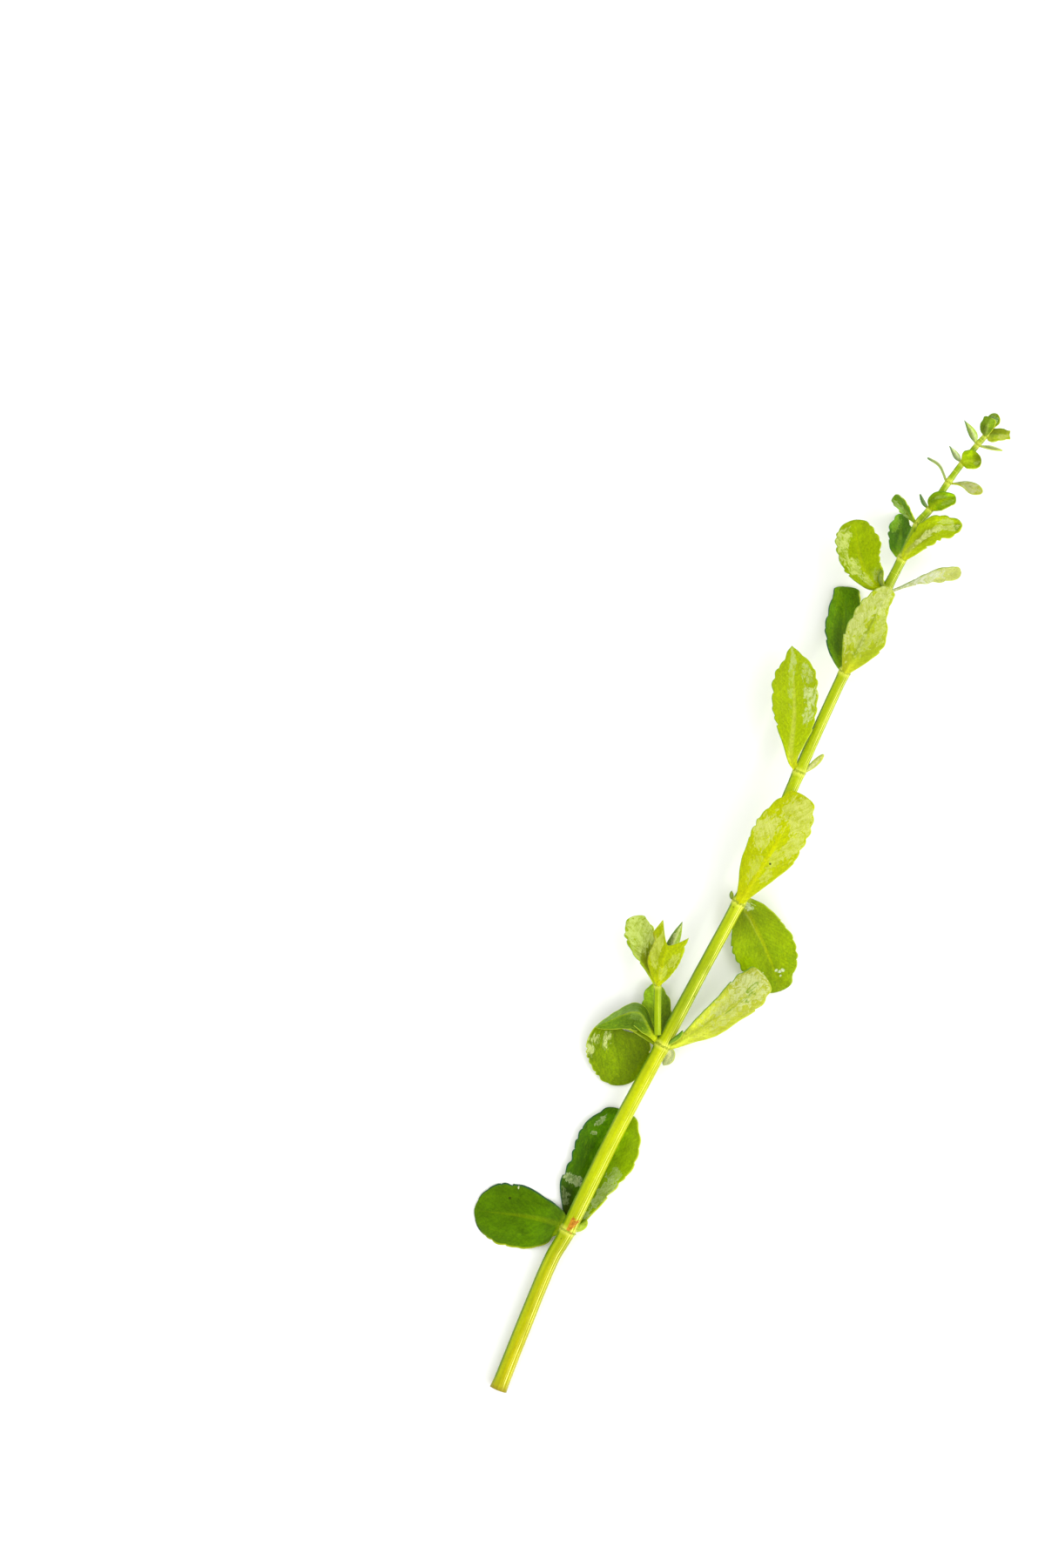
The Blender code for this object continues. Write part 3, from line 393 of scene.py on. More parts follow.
    "leaf_8_left": dict(
        face="#5E8900", deep="#517E00", pale="#789900", rib="#91AC2D", base="#8AA800", rim="#9DB25A",
        sheen_veil="#95AF5A", rim_shows=0.9, film_and_sheen=[(0.5, 0.6, 0.35, 0.3, 0.8)],
        painted_light_and_shade=[(0.7, 0.55, 0.5, 0.2, 0.9), (0.0, 0.5, 0.4, 0.3, -0.25), (0.7, 0.35, 0.5, 0.12, -0.35),
               (0.7, 0.62, 0.5, 0.14, 0.3)]),
    "leaf_9_front": dict(
        face="#6F9000", deep="#648500", pale="#859A00", rib="#8FA400", base="#8DA000", rim="#5E8A1E",
        sheen_veil="#9FAE57", rim_shows=0.9, film_and_sheen=[(-0.35, 0.7, 0.2, 0.2, 0.3), (0.4, 0.55, 0.15, 0.2, 0.3)],
        painted_light_and_shade=[(0.6, 0.8, 0.5, 0.2, 0.5), (0.4, 0.2, 0.5, 0.25, -0.25), (-0.5, 0.5, 0.5, 0.3, 0.15),
               (0.6, 0.88, 0.5, 0.18, 0.2), (-0.7, 0.6, 0.4, 0.2, -0.15), (0.0, 0.1, 0.6, 0.15, 0.3)]),
    "leaf_9_back": dict(
        face="#5E8430", deep="#42702E", pale="#8AA65C", rib="#8AA65C", base="#93AE30", rim="#3E6E44",
        rim_shows=0.9),
    "leaf_10_left": dict(
        face="#B4C66E", deep="#8AA64E", pale="#CDD99A", rib="#CDD99A", base="#BCCB4A", rim="#4E7A54",
        rim_shows=0.9, painted_light_and_shade=[(0.7, 0.5, 0.6, 0.6, -0.5), (-0.5, 0.5, 0.4, 0.5, 0.2)]),
    "leaf_10_right": dict(
        face="#9EA435", deep="#8B9509", pale="#B2B483", rib="#7D8B09", base="#A6AE09", rim="#7C9460",
        sheen_veil="#B6B798", vein="#6B7B09", rim_shows=0.9, veins=0.8, fibres_show=0.8, specks=0.2,
        film_and_sheen=[(0.0, 0.5, 0.8, 0.4, 0.4)]),
    "leaf_11_front": dict(
        face="#8BA600", deep="#7D9C00", pale="#98AF00", rib="#A4B61D", base="#A4B600", rim="#6E941E",
        sheen_veil="#A8B85E", rim_shows=0.9, film_and_sheen=[(0.4, 0.75, 0.2, 0.12, 0.3)],
        painted_light_and_shade=[(0.0, 0.85, 1.0, 0.25, -0.4), (-0.5, 0.3, 0.5, 0.3, 0.3), (0.0, 0.92, 1.0, 0.14, -0.2),
               (-0.7, 0.6, 0.4, 0.2, 0.3)]),
    "leaf_11_back": dict(
        face="#B6C77C", deep="#8FAA54", pale="#CDD8A4", rib="#CDD8A4", base="#B8C85A", rim="#5C7E54",
        rim_shows=0.9, painted_light_and_shade=[(0.7, 0.5, 0.6, 0.6, -0.5), (-0.5, 0.5, 0.4, 0.5, 0.2)]),
    "leaf_12_left": dict(
        face="#A6C048", deep="#86A62C", pale="#C6D58E", rib="#C6D58E", base="#B2C63A", rim="#4E7A44",
        rim_shows=0.9, painted_light_and_shade=[(0.7, 0.5, 0.6, 0.6, -0.5), (-0.5, 0.5, 0.4, 0.5, 0.2)]),
    "leaf_12_right": dict(
        face="#C6D08A", deep="#AFBE66", pale="#DCE2B8", rib="#93A860", base="#BFCF5A", rim="#8CA070",
        rim_shows=0.9, painted_light_and_shade=[(0.7, 0.5, 0.6, 0.6, -0.5), (-0.5, 0.5, 0.4, 0.5, 0.2)]),
    "leaf_13_front": dict(
        face="#69850E", deep="#55760C", pale="#7F9535", rib="#85973D", base="#7F9520", rim="#5A861E",
        rim_shows=0.9, painted_light_and_shade=[(0.4, 0.8, 0.5, 0.3, 0.5), (-0.4, 0.3, 0.4, 0.3, -0.35)],
        scars=[(0.3, 0.62, 0.3, 0.14)]),
    "leaf_13_back": dict(
        face="#7D971A", deep="#688610", pale="#96A83D", rib="#9CAC47", base="#7A9613", rim="#5E8A2A",
        sheen_veil="#85A06C", rim_shows=0.9, film_and_sheen=[(0.3, 0.6, 0.4, 0.3, 0.5)]),
    "leaf_13_right": dict(
        face="#90A016", deep="#81940F", pale="#AAAE42", rib="#708626", base="#9FA929", rim="#5E861E",
        sheen_veil="#B8B86D", rim_shows=0.9, film_and_sheen=[(0.5, 0.7, 0.4, 0.2, 0.4)],
        painted_light_and_shade=[(0.5, 0.6, 0.5, 0.4, 0.35), (-0.5, 0.5, 0.4, 0.4, -0.3)]),
    "leaf_1_small": dict(
        face="#9AB424", deep="#86A21A", pale="#B6C84E", rib="#B6C84E", base="#B2C62C", rim="#6C8E2A"),
}

# The stem's greens at distances in millimetres from the cut end, and the shoot's from its foot.
STEM_GREENS = [(0.0, "#A6A004"), (8.0, "#B4AD05"), (17.0, "#ABAA06"), (27.0, "#A7A705"), (36.0, "#99A303"),
               (46.0, "#AEB904"), (60.0, "#BCC605"), (76.0, "#BCC307"), (90.0, "#899E09"), (110.0, "#B0BF0B"),
               (130.0, "#BCCE0A"), (150.0, "#9DAE04"), (170.0, "#9BAD06"), (186.0, "#81990B"),
               (205.0, "#8CAF0A"), (225.0, "#567A0A")]
SHOOT_GREENS = [(0.0, "#8BA604"), (6.0, "#94AE08"), (12.0, "#8BA806")]


def linear(colour):
    """A colour's sRGB hex value as linear red, green, blue and alpha."""
    shares = [int(colour[k:k + 2], 16) / 255 for k in (1, 3, 5)]
    return [s / 12.92 if s <= 0.04045 else ((s + 0.055) / 1.055) ** 2.4 for s in shares] + [1.0]


def add(tree, kind, inputs=(), **settings):
    """A node with its settings, and each input given by name set to a value or linked."""
    node = tree.nodes.new(kind)
    for setting, value in settings.items():
        setattr(node, setting, value)
    for key, value in dict(inputs).items():
        live = [socket for socket in node.inputs if socket.enabled]
        socket = live[key] if isinstance(key, int) else next(s for s in live if key in (s.name, s.identifier))
        if isinstance(value, bpy.types.Node):
            value = next(output for output in value.outputs if output.enabled)
        if isinstance(value, bpy.types.NodeSocket):
            tree.links.new(value, socket)
        else:
            socket.default_value = value
    return node


def away_from(tree, value, level):
    """How far a value is from a level, on either side of it."""
    off = add(tree, "ShaderNodeMath", {0: value, 1: level}, operation="SUBTRACT")
    return add(tree, "ShaderNodeMath", {0: off}, operation="ABSOLUTE")


def distance_from(tree, middle, place, scale):
    """How far a place is from a middle, with each direction scaled."""
    off = add(tree, "ShaderNodeVectorMath", {0: place, 1: middle}, operation="SUBTRACT")
    off = add(tree, "ShaderNodeVectorMath", {0: off, 1: scale}, operation="MULTIPLY")
    return add(tree, "ShaderNodeVectorMath", {0: off}, operation="LENGTH").outputs["Value"]


def patch_distance(tree, at, across, along, half_across, half_along):
    """How far a place on the blade is from a patch's middle, where 1 is the patch's outline."""
    return distance_from(tree, (across / 2 + 0.5, along, 0), at.corner, (2 / half_across, 1 / half_along, 0))


def scattered_dots(tree, place, scale, size, share):
    """A mask of small round dots, one at each chosen point of an uneven grid."""
    dots = add(tree, "ShaderNodeTexVoronoi", {"Vector": place, "Scale": scale})
    inside = add(tree, "ShaderNodeMapRange", {"Value": dots.outputs["Distance"], "From Min": size,
                                              "From Max": size - DOT_EDGE})
    chosen = add(tree, "ShaderNodeSeparateXYZ", {0: dots.outputs["Color"]})
    chosen = add(tree, "ShaderNodeMath", {0: chosen.outputs["X"], 1: share}, operation="LESS_THAN")
    return add(tree, "ShaderNodeMath", {0: inside, 1: chosen}, operation="MULTIPLY")


def blank_material(name):
    """A material whose node tree is empty, and that tree."""
    material = bpy.data.materials.new(name)
    material.use_nodes = True
    material.node_tree.nodes.clear()
    return material, material.node_tree


def placed(name, data):
    """An object in the scene that holds this mesh, lamp or camera."""
    thing = bpy.data.objects.new(name, data)
    bpy.context.scene.collection.objects.link(thing)
    return thing


def turn_outwards(mesh):
    """The mesh with all its faces outwards."""
    shell = bmesh.new()
    shell.from_mesh(mesh)
    bmesh.ops.recalc_face_normals(shell, faces=shell.faces)
    shell.to_mesh(mesh)
    shell.free()
    return mesh


def on_plan(points):
    """Points in millimetres from the cut end as metres from the middle of the sprig."""
    return (points - (*PLAN_CENTRE, 0)) * MM


def settle_piece(piece, node):
    """The piece stands for its solid and goes with the plant's one body."""
    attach(piece, "root")
    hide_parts(node)


def unit(vectors):
    """The vectors' directions, each with length 1."""
    return vectors / np.maximum(np.linalg.norm(vectors, axis=-1, keepdims=True), 1e-9)


def curve_at(points, shares, steps=48):
    """Places and directions on a smooth curve through the points, at shares of its length."""
    points = np.array(points, float)
    padded = np.vstack([2 * points[0] - points[1], points, 2 * points[-1] - points[-2]])
    t = np.linspace(0, 1, steps, endpoint=False)[:, None]
    runs = []
    for a, b, c, d in zip(padded, padded[1:], padded[2:], padded[3:]):
        runs.append(0.5 * (2 * b + (c - a) * t + (2 * a - 5 * b + 4 * c - d) * t**2
                           + (3 * b - a - 3 * c + d) * t**3))
    dense = np.vstack(runs + [points[-1:]])
    length = np.concatenate([[0], np.cumsum(np.linalg.norm(np.diff(dense, axis=0), axis=1))])
    at = np.array(shares) * length[-1]
    place = np.stack([np.interp(at, length, dense[:, k]) for k in range(dense.shape[1])], axis=1)
    slope = unit(np.gradient(dense[:, :3], axis=0))
    direction = unit(np.stack([np.interp(at, length, slope[:, k]) for k in range(3)], axis=1))
    return place, direction, length[-1]


def stem_at_knot(knot):
    """Place, direction and radius of the stem at a knot."""
    table = SIDE_SHOOT if any(row[0] == knot for row in SIDE_SHOOT) else MAIN_STEM
    names = [row[0] for row in table]
    index = names.index(knot)
    places = np.array([row[1:4] for row in table])
    before, after = places[max(index - 1, 0)], places[min(index + 1, len(table) - 1)]
    return places[index], unit(after - before), table[index][4]


def blade_outline(share, leaf):
    """Half width of a blade at each share of its length, as a share of its largest half width."""
    widest, stalk = leaf.get("widest", 0.58), leaf.get("stalk", 0.0)
    blade = np.clip((share - stalk) / (widest - stalk), 0, 1)
    rising = STALK_WIDTH + (1 - STALK_WIDTH) * np.sin(blade * math.pi / 2) ** leaf.get("waist", 1.1)
    falling = np.clip(1 - (np.clip(share - widest, 0, 1) / (1 - widest)) ** 2, 0.004, 1)
    falling = falling ** (0.5 + leaf.get("point", 0))
    return np.where(share < widest, rising, falling)


def edge_reach(leaf, reach, shares):
    """How far one side's margin stands out, as a share of the even outline, at shares of the length."""
    steps = leaf.get("left_edge" if reach > 0 else "right_edge", (1.0, 1.0, 1.0, 1.0, 1.0))
    even = np.linspace(0, 1, len(steps))
    near = [np.interp(shares + shift, even, steps) for shift in (-0.03, 0, 0.03)]
    return (near[0] + 2 * near[1] + near[2]) / 4


def tooth_height(share, teeth, seed, start):
    """0 in the notches between teeth and 1 on their crests, which lean towards the tip. No two are alike."""
    random = np.random.default_rng(seed)
    along = np.clip((share - start) / (1 - start), 0, 1) * teeth
    notches = np.arange(teeth + 2) + random.uniform(-0.24, 0.24, teeth + 2)
    notches[0] = 0
    index = np.clip(np.searchsorted(notches, along, side="right") - 1, 0, teeth)
    through = np.clip((along - notches[index]) / (notches[index + 1] - notches[index]), 0, 1)
    lean = math.log(0.5) / math.log(TOOTH_CREST)
    deep = random.uniform(0.45, 1.25, teeth + 2)[index]
    return np.where(share < start, 1.0, 1 - deep * (1 - np.sin(math.pi * through**lean)) ** 1.1)


def bent_half(across, lift, curl):
    """Sideways and upward reach of a point across a half blade that is lifted and curled."""
    lift, curl = math.radians(lift), math.radians(curl) or 1e-4
    side = (np.sin(lift + curl * across) - math.sin(lift)) / curl
    up = (math.cos(lift) - np.cos(lift + curl * across)) / curl
    return side, up


def ripple(along, across, seed):
    """A slow uneven wave over a blade, from -1 to 1, the same each time for the same seed."""
    random = np.random.default_rng(seed)
    wave = np.zeros(np.broadcast(along, across).shape)
    for _ in range(5):
        pace, slant, start = random.uniform(4, 15), random.uniform(-4, 4), random.uniform(0, 6.28)
        wave += np.sin(pace * along + slant * across + start) / 5
    return wave


def blade_path(leaf, shares):
    """Place, direction, sideways and upper side of a blade at shares of its length, and the length."""
    knot, axis, radius = stem_at_knot(leaf["knot"])
    level = unit(np.cross(axis, (0, 0, 1)))
    round_stem = math.radians(leaf["around"])
    out = math.cos(round_stem) * level + math.sin(round_stem) * np.cross(level, axis)
    path = [knot + out * radius * LEAF_STARTS] + [knot + np.array(step) for step in leaf["path"]]
    place, along, length = curve_at(path, shares)
    chord = (path[-1] - path[0]) * (1, 1, 0)
    plan = unit(along * (1, 1, 0) + 0.25 * unit(chord))
    side = unit(np.cross((0, 0, 1), plan))
    up = unit(np.cross(along, side))
    side = np.cross(up, along)
    turn = math.radians(leaf.get("turn", 0))
    side, up = math.cos(turn) * side + math.sin(turn) * up, math.cos(turn) * up - math.sin(turn) * side
    return place, along, side, up, length


def blade_sheet(leaf, seed, shares, across, place, along, side, up):
    """The middle of a blade's thickness row by row, and how far each point is from the midrib."""
    half = leaf["width"] / 2 * blade_outline(shares, leaf)
    if leaf.get("fork"):
        half = np.maximum(half, leaf["width"] * 0.36 * np.clip(shares * 1.8 - 0.6, 0, 1))
    teeth = leaf.get("teeth", 0)
    start = leaf.get("toothed_from", TOOTHED_FROM)
    notches = [TOOTH_DEPTH * (1 - tooth_height(shares, teeth, seed + way, start)) if teeth else 0 * shares
               for way in (0, 1)]
    settle = np.clip(shares * 3, 0, 1)
    grid = np.zeros((len(shares), len(across), 3))
    reaches = np.zeros((len(shares), len(across)))
    for column, reach in enumerate(across):
        lift = leaf.get("left" if reach > 0 else "right", 0)
        flat_side, flat_up = bent_half(abs(reach), lift, leaf.get("curl", 0))
        wide = half * edge_reach(leaf, reach, shares)
        wide = wide * (1 + leaf.get("blunt", 0) * np.clip((shares - 0.9) / 0.1, 0, 1) ** 2)
        ragged = RAGGED * leaf["width"] / 12 * ripple(shares * 4, np.sign(reach) * 2, seed + 7)
        notch = notches[int(reach > 0)] + ragged * settle
        sideways = np.sign(reach) * (wide * flat_side - notch * abs(reach) ** 6)
        grid[:, column] = place + side * sideways[:, None] + up * (wide * settle * flat_up)[:, None]
        lobe_long, lobe_peak = leaf["fork"][int(reach < 0)] if "fork" in leaf else (0, 1)
        past_peak = 0.7 * max(abs(reach) - lobe_peak, 0) / (1.001 - lobe_peak)
        lobe = min(abs(reach) / lobe_peak, 1) ** 1.4 - past_peak
        grid[:, column] += along * (lobe_long * lobe * shares**3)[:, None]
        reaches[:, column] = wide
    sway = leaf["width"] * SWAY * ripple(shares[:, None], across[None, :] * 1.6, seed)
    grid += up[:, None, :] * (sway * settle[:, None] * (0.3 + across[None, :] ** 2))[:, :, None]
    return grid, reaches


def blade_faces(leaf, seed):
    """Points of a leaf's upper and under face row by row from the stalk, and where each one is on it."""
    rows, columns = FINE_BLADE if leaf["width"] > BIG_LEAF else SMALL_BLADE
    t = np.linspace(0, 1, rows)
    shares = t * (1 + 0.35 * (1 - t))
    # columns are closer together at the midrib and at the margins
    even = np.linspace(-1, 1, columns)
    across = even - 0.14 * np.sin(2 * math.pi * even) * np.abs(even)
    place, along, side, up, length = blade_path(leaf, shares)
    grid, reaches = blade_sheet(leaf, seed, shares, across, place, along, side, up)
    share, aside = shares[:, None], np.abs(across)[None, :]
    # the blade is thickest along the midrib, thins towards the margin and closes in a rounded rim
    thick = LEAF_THICKNESS * min(1.0, 0.45 + leaf["width"] / 10)
    rim = np.sqrt(1 - np.clip(aside, 0, 0.999) ** 12)
    end = np.sqrt(1 - np.clip(share, 0, 0.999) ** 40)
    depth = thick / 2 * (1 - (1 - EDGE_THICKNESS) * across[None, :] ** 2) * rim * end + RIM_THICKNESS
    shows = min(1, leaf["width"] / 8)
    rib_width = 0.16 + 0.022 * leaf["width"] * (1 - share)
    rib = np.exp(-((aside * reaches / rib_width) ** 2)) * np.clip(1.15 - share, 0, 1) * shows
    veins = np.zeros_like(rib)
    for vein in SIDE_VEINS:
        apart = (aside - vein * np.clip(share * 2.2, 0, 1)) * reaches
        veins += np.exp(-((apart / VEIN_WIDTH) ** 2)) * np.clip(1.0 - share, 0, 1) * shows
    upper = grid + up[:, None, :] * (depth - RIB_GROOVE * rib - VEIN_GROOVE * veins)[:, :, None]
    under = grid - up[:, None, :] * (depth + RIB_KEEL * rib + VEIN_KEEL * veins)[:, :, None]
    low, high = (upper, under) if leaf.get("turn", 0) > 90 else (under, upper)
    low[..., 2] = np.maximum(low[..., 2], 0)
    high[..., 2] = np.maximum(high[..., 2], LEAST_HEIGHT)
    # which way each point of the margin faces the light; it sets the mix of painted light and painted shade
    # on the rim
    sunwards = (side * LIT_FROM).sum(axis=1)[:, None] * np.sign(across)[None, :]
    sunwards = (sunwards * np.clip(1.2 - share**8, 0, 1)
                + (along * LIT_FROM).sum(axis=1)[:, None] * share**8)
    where = np.stack([np.broadcast_to(across[None, :] / 2 + 0.5, rib.shape),
                      np.broadcast_to(share, rib.shape)], axis=-1)
    real = np.stack([across[None, :] * reaches, np.broadcast_to(share * length, rib.shape),
                     reaches * (1 - aside)], axis=-1)
    return upper, under, where, real, sunwards


def closed_mesh(name, points, faces):
    """A mesh from points in millimetres measured from the cut end, with its faces outwards."""
    mesh = bpy.data.meshes.new(name)
    mesh.from_pydata([tuple(point) for point in on_plan(points)], [], faces)
    turn_outwards(mesh)
    mesh.shade_smooth()
    return mesh


def leaf_piece(name, leaf, seed):
    """The leaf as one closed piece that carries its own map: place across and along, and in millimetres."""
    upper, under, where, real, sunwards = blade_faces(leaf, seed)
    rows, columns = where.shape[:2]
    low = rows * columns
    faces = []
    for row in range(rows - 1):
        for column in range(columns - 1):
            a = row * columns + column
            b, c, d = a + 1, a + columns + 1, a + columns
            faces.append((a, d, c, b))
            faces.append((low + a, low + b, low + c, low + d))
    ring = list(range(columns))
    ring += [row * columns + columns - 1 for row in range(1, rows)]
    ring += [(rows - 1) * columns + column for column in range(columns - 2, -1, -1)]
    ring += [row * columns for row in range(rows - 2, 0, -1)]
    for a, b in zip(ring, ring[1:] + ring[:1]):
        faces.append((a, b, low + b, low + a))
    points = np.concatenate([upper.reshape(-1, 3), under.reshape(-1, 3)])
    mesh = closed_mesh(name, points, faces)
    corners = np.zeros(len(mesh.loops), dtype=np.int32)
    mesh.loops.foreach_get("vertex_index", corners)
    spots = np.concatenate([where.reshape(-1, 2)] * 2)
    mesh.uv_layers.new(name="blade").data.foreach_set("uv", spots[corners].ravel())
    sizes = np.concatenate([real.reshape(-1, 3)] * 2)
    mesh.attributes.new("blade_mm", "FLOAT_VECTOR", "POINT").data.foreach_set("vector", sizes.ravel())
    is_upper = np.concatenate([np.ones(low), np.zeros(low)])
    for title, values in {"lit_side": np.concatenate([sunwards.ravel()] * 2), "upper_face": is_upper}.items():
        mesh.attributes.new(title, "FLOAT", "POINT").data.foreach_set("value", values)
    return placed("skin_" + name, mesh)


def leaf_patterns(tree, seed):
    """The places and the noises that a leaf's skin is drawn from. spot is the place across and along from
    0 to 1; size is the place in millimetres: across from the midrib, along, and in from the margin."""
    spot = add(tree, "ShaderNodeSeparateXYZ", {0: add(tree, "ShaderNodeUVMap", uv_map="blade")})
    corner = add(tree, "ShaderNodeCombineXYZ", {"X": spot.outputs["X"], "Y": spot.outputs["Y"]})
    blade = add(tree, "ShaderNodeAttribute", attribute_name="blade_mm").outputs["Vector"]
    size = add(tree, "ShaderNodeSeparateXYZ", {0: blade})
    shift = add(tree, "ShaderNodeVectorMath", {0: blade, 1: (seed * 7.3, seed * 3.1, 0)}, operation="ADD")
    beside = add(tree, "ShaderNodeMath", {0: size.outputs["X"]}, operation="ABSOLUTE")
    lengthwise = add(tree, "ShaderNodeVectorMath", {0: shift, 1: (1.0, 0.2, 1.0)}, operation="MULTIPLY")
    over = add(tree, "ShaderNodeMath", {0: size.outputs["Y"], 1: -0.8, 2: beside}, operation="MULTIPLY_ADD")
    run = add(tree, "ShaderNodeMath", {0: size.outputs["Y"], 1: beside}, operation="ADD")
    run = add(tree, "ShaderNodeMath", {0: run, 1: 0.13}, operation="MULTIPLY")
    slanted = add(tree, "ShaderNodeCombineXYZ", {"X": over, "Y": run, "Z": seed * 2.7})
    noises = {}
    for title, place, scale, detail, roughness, distortion in (
            ("mottle", shift, 0.3, 3.0, 0.6, 0.0),  # patches of about 3 mm
            ("cells", shift, 2.3, 4.0, 0.78, 0.0),  # patches of about 0.6 mm
            ("fibres", lengthwise, 1.9, 4.0, 0.66, 0.6),  # along the blade, about 0.5 mm apart
            ("creases", slanted, 2.4, 3.0, 0.6, 0.0),  # outwards from the midrib, about 0.4 mm apart
            ("crinkle", shift, 0.5, 4.0, 0.55, 1.4),  # wrinkles of the film, about 2 mm apart
            ("holes", shift, 0.7, 3.0, 0.5, 1.0)):  # where the film has worn off
        noises[title] = add(tree, "ShaderNodeTexNoise", {
            "Vector": place, "Scale": scale, "Detail": detail, "Roughness": roughness,
            "Distortion": distortion})
    ragged = add(tree, "ShaderNodeMapRange", {"Value": noises["crinkle"], "From Min": 0.35, "From Max": 0.65,
                                              "To Min": -0.5, "To Max": 0.5})
    drawn = add(tree, "ShaderNodeMapRange", {"Value": noises["fibres"], "From Min": 0.3, "From Max": 0.7,
                                             "To Min": -0.35, "To Max": 0.35})
    torn = add(tree, "ShaderNodeMath", {0: ragged, 1: drawn}, operation="ADD")
    return SimpleNamespace(x=spot.outputs["X"], y=spot.outputs["Y"], corner=corner, blade=blade, shift=shift,
                           margin=size.outputs["Z"], beside=beside, torn=torn, **noises)


def leaf_greens(tree, look, at):
    """Mottled greens with fibres, side veins, a midrib, a stalk, fine grain and broad painted light and
    shade. Gives the skin and the side veins."""
    mottled = add(tree, "ShaderNodeMapRange", {"Value": at.mottle, "From Min": 0.38, "From Max": 0.68,
                                               "To Max": 0.7})
    fibrous = add(tree, "ShaderNodeMapRange", {"Value": at.fibres, "From Min": 0.5, "From Max": 0.8,
                                               "To Max": look.get("fibres_show", 0.55)})
    layers = [(mottled, linear(look["deep"])), (fibrous, linear(look["pale"]))]
    if "right" in look:
        turned = add(tree, "ShaderNodeMapRange", {"Value": at.x, "From Min": 0.62, "From Max": 0.12,
                                                  "To Max": 0.9})
        layers.append((turned, linear(look["right"])))
    # side veins: two on each side that part near the base and bow out with the margin
    bowing = add(tree, "ShaderNodeMath", {0: at.mottle, 1: 0.09, 2: away_from(tree, at.x, 0.5)},
                 operation="MULTIPLY_ADD")
    veining = add(tree, "ShaderNodeMath", {0: bowing, 1: 0.165}, operation="PINGPONG")
    veins = add(tree, "ShaderNodeMapRange", {"Value": veining, "From Min": 0.014, "From Max": 0.0,
                                             "To Max": look.get("veins", 0.25)})
    vein_fades = add(tree, "ShaderNodeMapRange", {"Value": at.cells, "From Min": 0.4, "From Max": 0.6})
    veins = add(tree, "ShaderNodeMath", {0: veins, 1: vein_fades}, operation="MULTIPLY")
    # midrib: widest at the base and a fine line towards the tip
    rib_width = add(tree, "ShaderNodeMapRange", {"Value": at.y, "From Min": 0.0, "From Max": 0.9,
                                                 "To Min": 0.75 * look.get("rib_size", 1), "To Max": 0.13})
    rib = add(tree, "ShaderNodeMath", {0: at.beside, 1: rib_width}, operation="DIVIDE")
    rib = add(tree, "ShaderNodeMapRange", {"Value": rib, "From Min": 1.2, "From Max": 0.4,
                                           "To Max": look.get("rib_shows", 0.65)})
    rib_ends = add(tree, "ShaderNodeMapRange", {"Value": at.y, "From Min": 0.97, "From Max": 0.55,
                                                "To Min": 0.15})
    rib = add(tree, "ShaderNodeMath", {0: rib, 1: rib_ends}, operation="MULTIPLY")
    tipwards = add(tree, "ShaderNodeMapRange", {"Value": at.y, "From Min": 0.3, "From Max": 0.6})
    rib_tone = add(tree, "ShaderNodeMix", {"Factor": tipwards, "A": linear(look["rib"]),
                                           "B": linear(look.get("rib_tip", look["rib"]))}, data_type="RGBA")
    # base: the stalk takes the stem's yellow-green
    base = add(tree, "ShaderNodeMapRange", {"Value": at.y, "From Min": look.get("base_to", 0.24),
                                            "From Max": 0.02, "To Max": 0.9}, interpolation_type="SMOOTHSTEP")
    layers += [(veins, linear(look.get("vein", look["rib"]))), (rib, rib_tone), (base, linear(look["base"]))]
    skin = linear(look["face"])
    for mask, tone in layers:
        skin = add(tree, "ShaderNodeMix", {"Factor": mask, "A": skin, "B": tone}, data_type="RGBA")
    # fine grain of the skin's cells, lighter and darker
    grain = look.get("grain", 0.34)
    grained = add(tree, "ShaderNodeMapRange", {"Value": at.cells, "From Min": 0.3, "From Max": 0.72,
                                               "To Min": 1 - grain, "To Max": 1 + grain})
    creased = add(tree, "ShaderNodeMapRange", {"Value": at.creases, "From Min": 0.35, "From Max": 0.65,
                                               "To Min": 0.9, "To Max": 1.1})
    shade = add(tree, "ShaderNodeMath", {0: grained, 1: creased}, operation="MULTIPLY")
    skin = add(tree, "ShaderNodeVectorMath", {0: skin, 1: shade}, operation="MULTIPLY")
    # painted light and shade: broad lighter and darker places, where the blade bends towards or away from the
    # light
    sway = add(tree, "ShaderNodeMapRange", {"Value": at.mottle, "From Min": 0.3, "From Max": 0.7,
                                            "To Min": -0.35, "To Max": 0.35})
    for *patch, lighter in look.get("painted_light_and_shade", ()):
        apart = add(tree, "ShaderNodeMath", {0: patch_distance(tree, at, *patch), 1: sway}, operation="ADD")
        shade = add(tree, "ShaderNodeMapRange", {"Value": apart, "From Min": 0.5, "From Max": 1.3,
                                                 "To Min": 1.0 + lighter, "To Max": 1.0})
        skin = add(tree, "ShaderNodeVectorMath", {0: skin, 1: shade}, operation="MULTIPLY")
    return skin, veins


